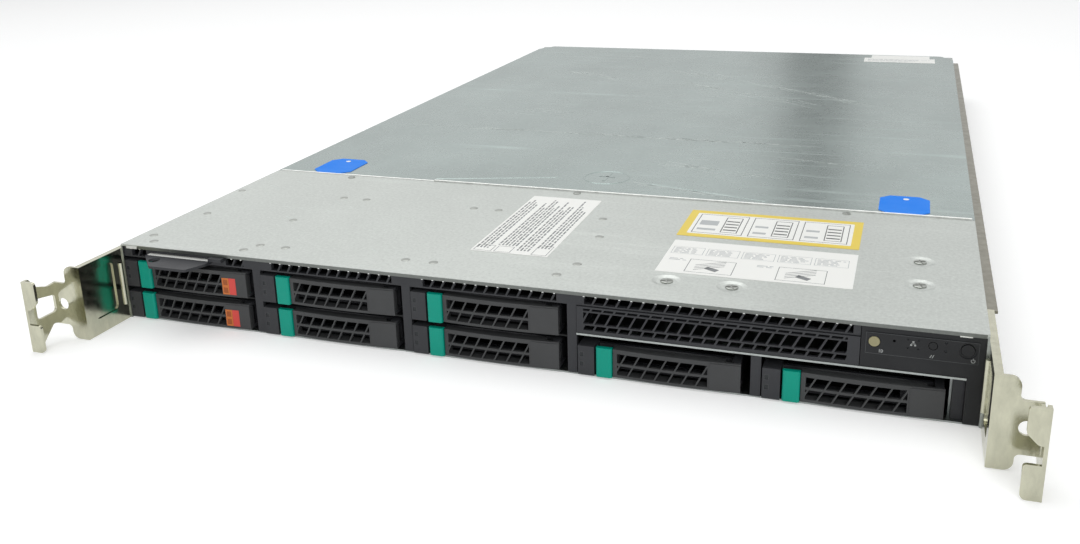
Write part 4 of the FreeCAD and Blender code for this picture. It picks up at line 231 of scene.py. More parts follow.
def circuit_board(name, tone):
    """Glass-epoxy laminate under solder mask: glossy, with copper tracks showing as paler lines."""
    material, tree = empty_material(name)
    place = add(tree, "TexCoord").outputs["Object"]
    # real tracks are 0.2 mm wide, drawn in cells of 3.2 mm so that they show
    tracks = add(tree, "TexVoronoi", {"Vector": place, "Scale": 1 / mm(3.2)},
                 distance="MANHATTAN", feature="F1")
    amount = add(tree, "MapRange", [tracks, 0.35, 0.45, 0, 0.5])
    add(tree, "OutputMaterial", [add(tree, "BsdfPrincipled", {
        "Base Color": add(tree, "Mix", {0: amount, 6: srgb(tone), 7: srgb("#2F6B45")},
                          data_type="RGBA"),
        "Roughness": 0.33, "IOR": 1.55,
        "Normal": add(tree, "Bump", {"Height": tracks, "Distance": mm(0.03), "Strength": 0.4})})])
    return material


def vinyl_film(name, tone, roughness=0.35):
    """Printed vinyl label film: an even colour, slightly glossy, lying with a faint ripple."""
    material, tree = empty_material(name)
    place = add(tree, "TexCoord").outputs["Object"]
    base = srgb(tone)
    # film put on by hand has ripples about 22 mm apart
    ripple = add(tree, "TexNoise", {"Vector": place, "Scale": 1 / mm(22)})
    amount = add(tree, "MapRange", [ripple, 0.3, 0.7, 0, 0.25])
    add(tree, "OutputMaterial", [add(tree, "BsdfPrincipled", {
        "Base Color": add(tree, "Mix", {0: amount, 6: base, 7: shade(base, 0.93)},
                          data_type="RGBA"),
        "Roughness": roughness, "IOR": 1.5,
        "Normal": add(tree, "Bump", {"Height": ripple, "Distance": mm(0.15), "Strength": 0.2})})])
    return material


MATERIALS = {
    # sheet metal: satin where it is plain plated, paler and rougher where it is rubbed
    "front sheet": zinc_sheet("zinc-plated steel, front panel", "#BEC2BE", 0.05, 0.42, 0.25),
    "cover sheet": zinc_sheet("zinc-plated steel, sliding cover", "#9BA7A4", 0.15, 0.27, 0.8),
    "chassis sheet": zinc_sheet("zinc-plated steel, chassis", "#A8ADAB", 0.08, 0.36, 0.2),
    "supply sheet": zinc_sheet("zinc-plated steel, supply case", "#B4B8B6", 0.06, 0.38),
    "rubbed sheet": zinc_sheet("zinc-plated steel, scratched pale", "#C6CDCA", 0.04, 0.42),
    # a darker tone for the lip's shade: painted shade on the front face of the folded lip
    "shaded edge": zinc_sheet("zinc-plated steel, folded lip, painted shade", "#747774", 0.05, 0.34),
    "drive case": zinc_sheet("zinc-plated steel, drive case", "#B9BCBB", 0.05, 0.36),
    # bright metal: it mirrors the room, softly where it is worn
    "bright plate": bright_plate("bright zinc plate, brackets", "#C4C3AF", 0.10),
    "rail steel": bright_plate("zinc plate, slide rails", "#8D8A7E", 0.28),
    "port shell": bright_plate("tinned steel, port shells", "#C8C9C8", 0.22),
    "screw steel": bright_plate("zinc plate, rivets and screws", "#A3A6A1", 0.25),
    # pale tabs at the vent bar tops: painted highlight for their glint
    "glint steel": bright_plate("pale steel, painted glint", "#E4E6E3", 0.25),
    # near white: partly bare steel, partly a painted highlight on the hems and folds
    "bare edge and highlight": bright_plate("bare steel hem, painted highlight", "#F4F5F2", 0.62),
    "gold flash": bright_plate("gold-flashed contacts", "#D8B45A", 0.22),
    "fins": extruded_aluminium("extruded aluminium, heat sinks"),
    # black plastics: satin, and a little dusty outside
    "black abs": moulded("black ABS, moulded", "#38393C", 0.46, dusty=0.10),
    "lever abs": moulded("black ABS, levers", "#454647", 0.42, dusty=0.06),
    "panel abs": moulded("black ABS, control panel", "#232426", 0.46, dusty=0.06),
    # paler grey: painted highlight on window rims and the plate's chamfer
    "paler rim abs": moulded("black ABS, paler rims, painted highlight", "#4A4C4E", 0.3),
    "button abs": moulded("black ABS, buttons", "#1E1F21", 0.40),
    # near black: painted shade for the dark seen through the vents
    "dark cage": moulded("near-black drive cage, painted shade", "#141516", 0.5, 0.8, 0.03),
    "fan abs": moulded("black PBT, fans", "#17181A", 0.45),
    "black pbt": moulded("black PBT, sockets", "#17181A", 0.42),
    "smoke sheet": moulded("black polycarbonate, air duct", "#1B1C1E", 0.35),
    "jacket": moulded("black PVC, cable jacket", "#151517", 0.4),
    # near black and matt: painted shade behind each carrier's grille
    "grille_shade": moulded("near-black sheet, painted shade", "#08090A", 0.8, worn=0.0, sheen=0.05),
    "chip epoxy": moulded("black epoxy, chips", "#1C1D1F", 0.5, worn=0.04),
    # coloured plastics: even and glossier
    "teal abs": moulded("teal ABS, latches", "#009E88", 0.34, worn=0.05),
    "green abs": moulded("green ABS, supply catch", "#2B9A4A", 0.36, worn=0.06),
    "blue abs": moulded("blue polycarbonate, touch pads", "#0A82F4", 0.38, worn=0.04, sheen=0.06),
    "tan abs": moulded("clear-tan polycarbonate, identify button", "#A09A78", 0.36, worn=0.05),
    "blue pbt": moulded("blue PBT, video socket", "#1E4FA8", 0.42),
    "white pbt": moulded("natural PBT, board plugs", "#D9D6C8", 0.45, worn=0.02),
    "light pipe": moulded("smoked polycarbonate, light pipe", "#2E3133", 0.18),
    "green lens": moulded("green polycarbonate, light", "#3FA95A", 0.15, worn=0.02),
    "amber lens": moulded("amber polycarbonate, light", "#D98A1E", 0.15, worn=0.02),
    "tan ceramic": moulded("tan ceramic, capacitors", "#8A7358", 0.4, worn=0.04),
    "board": circuit_board("circuit board", "#123B26"),
    # label films are slightly glossy, inks are matt
    "white film": vinyl_film("white vinyl film", "#F6F7F3"),
    "yellow film": vinyl_film("yellow vinyl film", "#E9CE3C"),
    "orange film": vinyl_film("orange vinyl film", "#D9782E"),
    "red film": vinyl_film("red vinyl film", "#E24A42"),
    "grey ink": vinyl_film("grey ink", "#7B7F80", 0.5),
    "pale ink": vinyl_film("pale grey ink", "#B5B9BA", 0.5),
    "dark ink": vinyl_film("dark ink", "#3A3C3E", 0.5),
    "worn orange": vinyl_film("dark orange ink", "#A8551F", 0.5),
    "legend ink": vinyl_film("pale legend ink", "#A6A9A8", 0.5),
}

# finish of each node of the frame, and the width of its broken edge in millimetres, 0 for none
NODE_FINISH = {
    "chassis_base": ("chassis sheet", 0.15), "front_top_panel": ("front sheet", 0.3),
    "rear_cover": ("cover sheet", 0.3), "cover_touch_pads": ("blue abs", 0),
    "front_frame": ("black abs", 0.12), "drive_cage": ("dark cage", 0),
    "bay_shelf": ("chassis sheet", 0.15), "optical_bay_filler": ("black abs", 0.12),
    "control_panel": ("panel abs", 0.25), "control_board": ("board", 0),
    "id_button": ("tan abs", 0), "reset_button": ("button abs", 0),
    "power_button": ("button abs", 0), "info_tag": ("black abs", 0.25),
    "rack_bracket_left": ("bright plate", 0.6), "rack_bracket_right": ("bright plate", 0.6),
    "inner_rails": ("rail steel", 0.2), "drive_backplane": ("board", 0),
    "fan_frames": ("fan abs", 0), "server_board": ("board", 0), "heatsinks": ("fins", 0),
    "memory_modules": ("board", 0), "air_duct": ("smoke sheet", 0),
    "power_supply": ("supply sheet", 0.3), "supply_blank": ("chassis sheet", 0),
    "supply_latch": ("green abs", 0), "riser_card": ("board", 0), "rear_ports": ("port shell", 0),
    "rivets_and_screws": ("screw steel", 0), "cables": ("jacket", 0),
}
for number in FAN_ROTORS:
    NODE_FINISH["fan_rotor_%d" % number] = ("fan abs", 0)
for number in CARRIERS:
    NODE_FINISH["drive_carrier_%d" % number] = ("black abs", 0.25)
    NODE_FINISH["carrier_lever_%d" % number] = ("lever abs", 0.2)
    NODE_FINISH["carrier_latch_%d" % number] = ("teal abs", 0.7)


def break_edges(item, width_mm):
    """Round the sharp edges a little, so that they catch the light."""
    bevel = item.modifiers.new("broken edge", "BEVEL")
    bevel.width = mm(width_mm)
    bevel.segments = 3 if width_mm > 0.5 else 2
    bevel.limit_method = "ANGLE"
    bevel.angle_limit = math.radians(40)
    bevel.use_clamp_overlap = True
    bevel.harden_normals = False


for node_name, (finish, edge_mm) in NODE_FINISH.items():
    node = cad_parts[node_name]
    node.data.materials.clear()
    node.data.materials.append(MATERIALS[finish])
    if edge_mm:
        break_edges(node, edge_mm)

# the riser's slot plate, its last 2.5 mm before the rear plane, is steel, unlike its board
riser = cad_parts["riser_card"].data
riser.materials.append(MATERIALS["port shell"])
for face in riser.polygons:
    if min(riser.vertices[corner].co.y for corner in face.vertices) > REAR - mm(2.5):
        face.material_index = 1


# ------------------------------------------------------------------ small mesh makers

def finish_piece(mesh, name, material, body):
    """Turn a bmesh into a named piece that rides on a body."""
    data = bpy.data.meshes.new(name)
    mesh.to_mesh(data)
    mesh.free()
    data.materials.append(MATERIALS[material])
    item = bpy.data.objects.new(name, data)
    bpy.context.scene.collection.objects.link(item)
    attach(item, body)
    return item


def add_box(mesh, low, high, turn=0.0):
    """A box between two corners in metres, turned about its own middle."""
    centre = (Vector(low) + Vector(high)) / 2
    size = Vector(high) - Vector(low)
    place = Matrix.Translation(centre) @ Matrix.Rotation(turn, 4, "Z") @ Matrix.Diagonal((*size, 1))
    bmesh.ops.create_cube(mesh, size=1, matrix=place)


def add_plate(mesh, corners, low, high, rounding=0.0):
    """A flat plate with an outline of x, y corners, between two heights."""
    points = round_corners(corners, rounding) if rounding else corners
    lower = [mesh.verts.new((x, y, low)) for x, y in points]
    upper = [mesh.verts.new((x, y, high)) for x, y in points]
    mesh.faces.new(upper)
    mesh.faces.new(list(reversed(lower)))
    for number in range(len(points)):
        after = (number + 1) % len(points)
        mesh.faces.new((lower[number], lower[after], upper[after], upper[number]))


def round_corners(corners, radius, steps=5):
    """The same outline with each corner replaced by an arc."""
    points = []
    for number, corner in enumerate(corners):
        corner = Vector(corner)
        before = (Vector(corners[number - 1]) - corner).normalized()
        after = (Vector(corners[(number + 1) % len(corners)]) - corner).normalized()
        half = before.angle(after) / 2
        centre = corner + (before + after).normalized() * (radius / math.sin(half))
        start = corner + before * (radius / math.tan(half)) - centre
        end = corner + after * (radius / math.tan(half)) - centre
        sweep = start.angle(end)
        turn = 1 if start.x * end.y - start.y * end.x > 0 else -1
        for step in range(steps + 1):
            angle = turn * sweep * step / steps
            cosine, sine = math.cos(angle), math.sin(angle)
            points.append((centre.x + start.x * cosine - start.y * sine,
                           centre.y + start.x * sine + start.y * cosine))
    return points


def rectangle(x0, x1, y0, y1):
    return [(x0, y0), (x1, y0), (x1, y1), (x0, y1)]


# ------------------------------------------------------------------ labels

FILM_MM, INK_MM, LABEL_CORNER_MM = 0.12, 0.02, 0.6


def label(name, x, y, body, base=TOP, film="white film"):
    """A film label lying on the top; x and y are its sides in millimetres, y from the front."""
    mesh = bmesh.new()
    corners = rectangle(mm(x[0]), mm(x[1]), from_front(y[0]), from_front(y[1]))
    add_plate(mesh, corners, base, base + mm(FILM_MM), mm(LABEL_CORNER_MM))
    return finish_piece(mesh, name, film, body)


def printing(name, bars, body, ink="grey ink", base=TOP + mm(FILM_MM)):
    """Flat printed bars: each is x0, x1, y0, y1 in millimetres and an optional turn."""
    mesh = bmesh.new()
    for bar in bars:
        turn = bar[4] if len(bar) > 4 else 0.0
        add_box(mesh, (mm(bar[0]), from_front(bar[2]), base),
                (mm(bar[1]), from_front(bar[3]), base + mm(INK_MM)), turn)
    return finish_piece(mesh, name, ink, body)


def outline(x0, x1, y0, y1, line=0.4):
    """Four bars that frame a rectangle."""
    return [(x0, x1, y0, y0 + line), (x0, x1, y1 - line, y1), (x0, x0 + line, y0, y1),
            (x1 - line, x1, y0, y1)]


def text_rows(x, y, pitch, height, down_x=True):
    """Rows of dashes in place of words. With down_x the rows run along Y."""
    bars = []
    across = x if down_x else y
    along = y if down_x else x
    level = across[0]
    while level + height <= across[1]:
        spot = along[0]
        end = along[0] + (along[1] - along[0]) * random.uniform(0.72, 1.0)
        while spot < end - 1:
            word = min(random.uniform(1.2, 6.0), end - spot)
            bars.append((level, level + height, spot, spot + word) if down_x else
                        (spot, spot + word, level, level + height))
            spot += word + random.uniform(0.7, 1.3)
        level += pitch
    return bars


# rating label on the front panel, read from the right
label("rating_label", (-30.0, 12.5), (40.7, 141.5), "chassis")
rating = []
for column, (low, high) in enumerate(((-28.6, -20.6), (-18.6, -8.0), (-6.2, 1.6), (3.2, 11.0))):
    rating += text_rows((low, high), (46 + 6 * (column % 2), 138.5), 1.9, 0.95)
rating += outline(-28.8, -19.0, 41.8, 50.5, 0.35) + outline(-17.5, -8.5, 41.8, 50.5, 0.35)
rating += outline(3.0, 11.3, 41.8, 56.0, 0.35)
printing("rating_print", rating, "chassis")

# service label with a plain yellow border and three framed pictures of a plain rack
label("service_label", (68.0, 162.0), (92.0, 137.8), "chassis", film="yellow film")
label("service_label_field", (72.6, 157.6), (96.6, 132.6), "chassis",
      base=TOP + mm(0.10))
service = []
for low, high in ((74.6, 101.5), (104.5, 128.5), (131.5, 155.6)):
    service += outline(low, high, 98.4, 130.8, 0.4)
    service += outline(high - 12.0, high - 3.0, 101.5, 127.5, 0.5)
    service += [(high - 11.0, high - 4.0, 105 + 5 * step, 106.6 + 5 * step) for step in range(4)]
printing("service_print", service, "chassis", "dark ink", TOP + mm(0.22))
printing("service_print_pale", [(76.5, 86.5, 103.5, 106.5), (106.5, 113.5, 103.5, 106.5),
                                (133.5, 140.5, 103.5, 106.5), (76.5, 86.5, 112.0, 120.0),
                                (106.5, 113.5, 114.0, 117.0), (133.5, 140.5, 114.0, 117.0)],
         "chassis", "pale ink", TOP + mm(0.22))

# instruction label: a row of small tables and two line drawings
label("instruction_label", (69.3, 162.2), (36.3, 84.0), "chassis")
tables, drawings = [], []
for step in range(5):
    low = 71.2 + 17.8 * step
    tables += outline(low, low + 16.2, 63.5, 74.0, 0.3)
    tables += text_rows((low + 1.2, low + 15.0), (64.8, 73.2), 1.7, 0.8, down_x=False)
for low in (83.0, 126.5):
    drawings += outline(low, low + 23.0, 39.0, 57.0, 0.35)
    drawings += [(low + 3, low + 19, 46 + 2.2 * step, 46.5 + 2.2 * step, 0.5) for step in range(4)]
    drawings += [(low + 9, low + 16, 43.0, 46.5, -0.5)]
    tables += text_rows((low - 10.5, low - 1.5), (54.0, 57.0), 1.7, 0.8, down_x=False)
printing("instruction_tables", tables, "chassis", "pale ink")
printing("instruction_drawings", drawings, "chassis", "grey ink")

# two plain labels at the rear of the cover
label("cover_label_long", (134.6, 201.9), (668.0, 692.0), "cover")
label("cover_label_short", (141.0, 197.0), (692.0, 709.0), "cover")
printing("cover_label_print", text_rows((138, 198), (674, 688), 2.6, 1.1, down_x=False),
         "cover", "pale ink")

# paper on the information tag; its front edge shows under the panel's lip
tag_low, tag_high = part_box("info_tag")
mesh = bmesh.new()
add_plate(mesh, rectangle(tag_low[0] + mm(0.6), tag_high[0] - mm(0.8), from_front(-1.6),
                          from_front(44.0)), tag_high[2], tag_high[2] + mm(0.1), mm(0.5))
finish_piece(mesh, "tag_paper", "white film", "tag")


# ------------------------------------------------------------------ rivets and screws

def close_rows(mesh, rows):
    """Faces between successive closed rows of vertices."""
    sides = len(rows[0])
    for low, high in zip(rows, rows[1:]):
        for side in range(sides):
            after = (side + 1) % sides
            mesh.faces.new((low[side], low[after], high[after], high[side]))


def turned(mesh, place, profile, sides=24):
    """A solid turned about its own Z from (radius, height) points in metres, first to last."""
    rows = [[mesh.verts.new(place @ Vector((radius * math.cos(t), radius * math.sin(t), height)))
             for t in (2 * math.pi * s / sides for s in range(sides))]
            for radius, height in profile]
    close_rows(mesh, rows)
    mesh.faces.new(list(reversed(rows[0])))
    mesh.faces.new(rows[-1])


def rivet_head(mesh, place, radius, height):
    """A low dome with a rolled foot."""
    turned(mesh, place, [(radius, 0)] + [(radius * math.cos(a), height * math.sin(a))
                                         for a in (math.pi * step / 12 for step in range(6))])


def cross_head(mesh, place, radius, height):
    """A pan-head screw: a disc and four rounded quadrants that leave a cross slot."""
    turned(mesh, place, [(radius, 0), (radius, height * 0.45), (radius * 0.97, height * 0.5)])
    half_slot = radius * 0.15
    reach = radius * 0.96
    first = math.asin(half_slot / reach)
    for quadrant in range(4):
        spin = place @ Matrix.Rotation(quadrant * math.pi / 2 + 0.35, 4, "Z")
        corners = [Vector((half_slot, half_slot, 0))]
        for step in range(7):
            angle = first + (math.pi / 2 - 2 * first) * step / 6
            corners.append(Vector((reach * math.cos(angle), reach * math.sin(angle), 0)))
        crown = [corner * 0.9 for corner in corners[1:]]
        low = [mesh.verts.new(spin @ (c + Vector((0, 0, height * 0.45)))) for c in corners]
        mid = [mesh.verts.new(spin @ (c + Vector((0, 0, height * 0.75)))) for c in corners]
        top = [mesh.verts.new(spin @ (c + Vector((0, 0, height)))) for c in [corners[0]] + crown]
        close_rows(mesh, [low, mid, top])
        mesh.faces.new(list(reversed(low)))
        mesh.faces.new(top)


def loose_solids(node):
    """(low, high) corners of each separate solid of a CAD node."""
    mesh = bmesh.new()
    mesh.from_mesh(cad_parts[node].data)
    bmesh.ops.remove_doubles(mesh, verts=mesh.verts, dist=1e-6)
    left = set(mesh.verts)
    found = []
    while left:
        edge_of_search = [left.pop()]
        island = list(edge_of_search)
        while edge_of_search:
            for edge in edge_of_search.pop().link_edges:
                for vert in edge.verts:
                    if vert in left:
                        left.remove(vert)
                        edge_of_search.append(vert)
                        island.append(vert)
        low = Vector([min(v.co[axis] for v in island) for axis in range(3)])
        high = Vector([max(v.co[axis] for v in island) for axis in range(3)])
        found.append((low, high))
    mesh.free()
    return sorted(found, key=lambda pair: tuple(round(c, 4) for c in pair[0]))


# a head that is thin across X sits on a side wall; on top, the wide heads and those beside the
# seam are screws and the rest are rivets
SIDE_HEAD_MM, WIDE_HEAD_MM, SEAM_ROW_MM = 1.5, 5.0, 8.0
heads = bmesh.new()
dark_heads = bmesh.new()
for low, high in loose_solids("rivets_and_screws"):
    centre = (low + high) / 2
    size = high - low
    if size.x < mm(SIDE_HEAD_MM):
        outward = 1 if centre.x > 0 else -1
        foot = low.x if outward > 0 else high.x
        place = Matrix.Translation((foot, centre.y, centre.z)) @ Matrix.Rotation(
            outward * math.pi / 2, 4, "Y")
        maker = cross_head if centre.y < from_front(60) else rivet_head
        maker(heads, place, size.z / 2, size.x)
        continue
    place = Matrix.Translation((centre.x, centre.y, low.z))
    if size.x > mm(WIDE_HEAD_MM):
        cross_head(heads, place, mm(3.1), size.z)
    elif centre.y > SEAM - mm(SEAM_ROW_MM):
        cross_head(dark_heads, place, size.x / 2, size.z)
    else:
        rivet_head(heads, place, size.x / 2, size.z)
rivets = finish_piece(heads, "rivet_and_screw_heads", "screw steel", "chassis")
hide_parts("rivets_and_screws")
finish_piece(dark_heads, "seam_screw_heads", "screw steel", "chassis")


# ------------------------------------------------------------------ drive carriers

BAY_PITCH_MM = 86.3
LEVER_LEFT_MM, LEVER_RIGHT_MM = 17.0, 76.7
LEVER_BOW_MM, LEVER_END_MM, PAD_PROUD_MM = 1.2, 0.8, 0.35
CHORD_MM = LEVER_RIGHT_MM - LEVER_LEFT_MM
BOW_RADIUS_MM = CHORD_MM ** 2 / (8 * LEVER_BOW_MM) + LEVER_BOW_MM / 2


def pad_front(x_mm):
    """Y, from the front plane in millimetres, of a lever pad's face at x in the bay's own frame."""
    middle = (LEVER_LEFT_MM + LEVER_RIGHT_MM) / 2
    reach = BOW_RADIUS_MM + PAD_PROUD_MM
    centre = LEVER_END_MM - LEVER_BOW_MM + BOW_RADIUS_MM
    return centre - math.sqrt(reach ** 2 - (x_mm - middle) ** 2)


def pad_sticker(name, number, x, z, film, proud_mm=0.1, back_mm=0.0):
    """A sticker that follows the bow of a lever's finger pad."""
    corner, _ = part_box("drive_carrier_%d" % number)
    mesh = bmesh.new()
    steps = 6
    rows = []
    for step in range(steps + 1):
        across = x[0] + (x[1] - x[0]) * step / steps
        face = pad_front(across)
        rows.append([mesh.verts.new((corner.x + mm(across), from_front(face - depth),
                                     corner.z + mm(level)))
                     for depth, level in ((back_mm, z[0]), (proud_mm, z[0]), (proud_mm, z[1]),
                                          (back_mm, z[1]))])
    close_rows(mesh, rows)
    mesh.faces.new(list(reversed(rows[0])))
    mesh.faces.new(rows[-1])
    bmesh.ops.recalc_face_normals(mesh, faces=mesh.faces)
    return finish_piece(mesh, name, film, "lever_%d" % number)


# two light windows, one above the other, each with a fine frame of four bars in a paler grey: a
# painted highlight of the window's rim
WINDOW_LEVELS_MM, FRAME_LINE_MM = (5.6, 10.4), 0.22
for number in CARRIERS:
    corner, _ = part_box("drive_carrier_%d" % number)
    mesh = bmesh.new()
    frames = bmesh.new()
    for level in WINDOW_LEVELS_MM:
        across = (corner.x + mm(1.1), corner.x + mm(2.8))
        height = (corner.z + mm(level - 1.1), corner.z + mm(level + 1.1))
        add_box(mesh, (across[0] + mm(0.05), from_front(0.2), height[0] + mm(0.05)),
                (across[1] - mm(0.05), from_front(0.5), height[1] - mm(0.05)))
        line = mm(FRAME_LINE_MM)
        for low, high in (((across[0] - line, height[0] - line), (across[1] + line, height[0])),
                          ((across[0] - line, height[1]), (across[1] + line, height[1] + line)),
                          ((across[0] - line, height[0]), (across[0], height[1])),
                          ((across[1], height[0]), (across[1] + line, height[1]))):
            add_box(frames, (low[0], from_front(-0.03), low[1]),
                    (high[0], from_front(0.01), high[1]))
    finish_piece(mesh, "carrier_lights_%d" % number, "light pipe", "carrier_%d" % number)
    finish_piece(frames, "carrier_light_frames_%d" % number, "paler rim abs",
                 "carrier_%d" % number)
# the two carriers at the left have plain coloured stickers at the right end of their levers
for number in (1, 4):
    pad_sticker("orange_sticker_%d" % number, number, (62.4, 66.4), (1.7, 10.9), "orange film")
    pad_sticker("red_sticker_%d" % number, number, (66.5, 70.4), (1.7, 10.9), "red film")
    for step, low in enumerate((2.6, 7.0)):
        pad_sticker("sticker_print_%d_%d" % (number, step), number, (63.1, 65.7), (low, low + 3.0),
                    "worn orange", 0.12, 0.09)


# ------------------------------------------------------------------ control panel

PLATE_LEFT_MM, PLATE_BOTTOM_MM, PLATE_WIDE_MM, PLATE_HIGH_MM = 170.4, 28.9, 45.0, 9.6


def plate_point(x_mm, z_mm):
    """X and Z of a place measured from the lower left corner of the legend plate."""
    return mm(PLATE_LEFT_MM + x_mm), mm(PLATE_BOTTOM_MM + z_mm)


def front_arc(mesh, centre, radius, line, start, end, steps=20):
    """A flat arc of ink on the legend plate, angles in degrees from +X towards +Z."""
    rows = []
    for step in range(steps + 1):
        angle = math.radians(start + (end - start) * step / steps)
        rows.append([mesh.verts.new((centre[0] + mm(r) * math.cos(angle), FRONT - mm(d),
                                     centre[1] + mm(r) * math.sin(angle)))
                     for r, d in ((radius - line / 2, 0), (radius - line / 2, INK_MM),
                                  (radius + line / 2, INK_MM), (radius + line / 2, 0))])
    close_rows(mesh, rows)
    mesh.faces.new(list(reversed(rows[0])))
    mesh.faces.new(rows[-1])


def front_bar(mesh, centre, width, height, lean=0.0):
    """A flat bar of ink on the legend plate; lean shears its top to the right."""
    corners = []
    for u, v in ((-1, -1), (1, -1), (1, 1), (-1, 1)):
        corners.append((centre[0] + mm(u * width / 2 + lean * v * height / 2),
                        centre[1] + mm(v * height / 2)))
    back = [mesh.verts.new((x, FRONT, z)) for x, z in corners]
    face = [mesh.verts.new((x, FRONT - mm(INK_MM), z)) for x, z in corners]
    close_rows(mesh, [back, face])
    mesh.faces.new(list(reversed(back)))
    mesh.faces.new(face)


# the generic marks of such a panel, drawn with strokes of one width
STROKE_MM, MARK_HIGH_MM = 0.28, 1.5
legend = bmesh.new()
# identify: an upright stroke, and another with an arc
front_bar(legend, plate_point(5.7, 1.5), STROKE_MM, MARK_HIGH_MM)
front_bar(legend, plate_point(6.4, 1.5), STROKE_MM, MARK_HIGH_MM)
front_arc(legend, plate_point(6.5, 1.5), 0.62, STROKE_MM, -90, 90)
# network: three joined squares
for x, z in ((19.1, 7.2), (18.3, 5.7), (19.9, 5.7)):
    front_bar(legend, plate_point(x, z), 0.8, 0.7)
front_bar(legend, plate_point(19.1, 6.4), 1.8, 0.18)
# reset: two slanted strokes
for x in (26.4, 27.3):
    front_bar(legend, plate_point(x, 1.5), STROKE_MM, MARK_HIGH_MM, 0.45)
# power: an open ring with a stroke at its top
front_arc(legend, plate_point(43.0, 1.4), 0.75, 0.26, 125, 415)
front_bar(legend, plate_point(43.0, 2.1), 0.26, 1.0)
finish_piece(legend, "panel_legend", "legend ink", "chassis")

# the legend plate's chamfer, a fine paler line round the controls: a painted highlight where the
# chamfer catches light
CHAMFER_MM = 0.22
chamfer = bmesh.new()
for x, z, width, height in ((PLATE_WIDE_MM / 2, 0, PLATE_WIDE_MM, CHAMFER_MM),
                            (PLATE_WIDE_MM / 2, PLATE_HIGH_MM, PLATE_WIDE_MM, CHAMFER_MM),
                            (0, PLATE_HIGH_MM / 2, CHAMFER_MM, PLATE_HIGH_MM),
                            (PLATE_WIDE_MM, PLATE_HIGH_MM / 2, CHAMFER_MM, PLATE_HIGH_MM)):
    front_bar(chamfer, plate_point(x, z), width, height)
finish_piece(chamfer, "plate_chamfer_highlight", "paler rim abs", "chassis")

# light pipes: four round the network mark and two before the power button
pipes = bmesh.new()
for x, z, radius in ((17.0, 8.2, 0.45), (17.0, 4.3, 0.45), (21.2, 8.2, 0.45), (21.2, 4.3, 0.45),
                     (32.1, 8.4, 0.6), (32.1, 4.6, 0.6)):
    across, level = plate_point(x, z)
    place = Matrix.Translation((across, from_front(0.25), level)) @ Matrix.Rotation(
        -math.pi / 2, 4, "X")
    turned(pipes, place, [(mm(radius * 0.6), 0), (mm(radius * 0.92), mm(0.12)),
                          (mm(radius * 0.92), mm(1.8))], 16)
finish_piece(pipes, "panel_light_pipes", "light pipe", "chassis")


# ------------------------------------------------------------------ vent rail and cover marks

# painted shade: the front face of the panel's folded lip gets a darker steel tone for the shade it
# lies in, a dull band under the bright top edge
lip = bmesh.new()
add_box(lip, (mm(-208.0), FRONT - mm(0.05), mm(41.1)), (mm(218.0), FRONT + mm(0.05), mm(42.75)))
finish_piece(lip, "lip_shade_band", "shaded edge", "chassis")
# where the folded corners of the lip end, the bare fold is drawn in near-white steel: partly bare
# metal, partly a painted highlight
folds = bmesh.new()
for left, right, low, high in ((-215.5, -208.6, 40.9, 42.5), (207.5, 212.5, 40.7, 41.2)):
    add_box(folds, (mm(left), FRONT - mm(0.12), mm(low)), (mm(right), FRONT + mm(0.05), mm(high)))
finish_piece(folds, "lip_folds", "bare edge and highlight", "chassis")
# the cover's front edge is hemmed and rubbed bare: it stands a little proud, in near-white steel
# that is partly bare metal and partly a painted highlight
edge = bmesh.new()
for start, end, proud in ((-217.0, -104.0, 0.25), (-104.0, 217.5, 0.7)):
    add_box(edge, (mm(start), SEAM - mm(0.02), TOP - mm(0.5)),
            (mm(end), SEAM + mm(1.3), TOP + mm(proud)))
finish_piece(edge, "cover_front_edge", "bare edge and highlight", "cover")

# painted highlight: small pale steel tabs at the top of each vent bar, under the panel's lip, stand
# in for the glint of the bar tops
VENT_PITCH_MM = 5.7
glint_tabs = bmesh.new()
for start, end in ((-213.0, -204.0), (-154.5, -142.2), (-125.2, -56.0), (-38.9, 30.4),
                   (44.0, 165.0)):
    spot = start
    while spot < end:
        add_box(glint_tabs, (mm(spot - 0.3), from_front(0.35), mm(40.55)),
                (mm(spot + 0.55), from_front(1.1), mm(41.15)))
        spot += VENT_PITCH_MM
finish_piece(glint_tabs, "rail_glint_tabs", "glint steel", "chassis")


def rib(name, start, end, width, height):
    """A shallow pressed rib with sloping sides on the cover, from start to end, millimetres from
    the front."""
    a = Vector((mm(start[0]), from_front(start[1])))
    b = Vector((mm(end[0]), from_front(end[1])))
    run = (b - a).normalized()
    side = Vector((-run.y, run.x))
    mesh = bmesh.new()
    rows = []
    for inset, level in ((0.0, 0.0), (0.5, 1.0)):
        half = mm(width) / 2 * (1 - inset * 0.6)
        end_inset = run * mm(width) * 0.3 * inset
        rows.append([mesh.verts.new((*spot, TOP + mm(height) * level)) for spot in
                     (a + end_inset - side * half, b - end_inset - side * half,
                      b - end_inset + side * half, a + end_inset + side * half)])
    close_rows(mesh, rows)
    mesh.faces.new(list(reversed(rows[0])))
    mesh.faces.new(rows[-1])
    return finish_piece(mesh, name, "cover sheet", "cover")


def scratches(mesh, start, end, spread, count, longest):
    """Fine pale scratches scattered along a line, all nearly parallel, in millimetres from the
    front."""
    a, b = Vector(start), Vector(end)
    run = (b - a).normalized()
    side = Vector((-run.y, run.x))
    for _ in range(count):
        middle = a.lerp(b, random.random()) + side * random.gauss(0, spread / 2)
        reach = run * random.uniform(0.25, 1.0) * longest / 2
        half = side * random.uniform(0.12, 0.32)
        lean = side * random.gauss(0, 0.03) * longest
        corners = [middle - reach - half - lean, middle + reach - half * 0.3 + lean,
                   middle + reach + half * 0.3 + lean, middle - reach + half - lean]
        add_plate(mesh, [(mm(c.x), from_front(c.y)) for c in corners], TOP, TOP + mm(0.03))


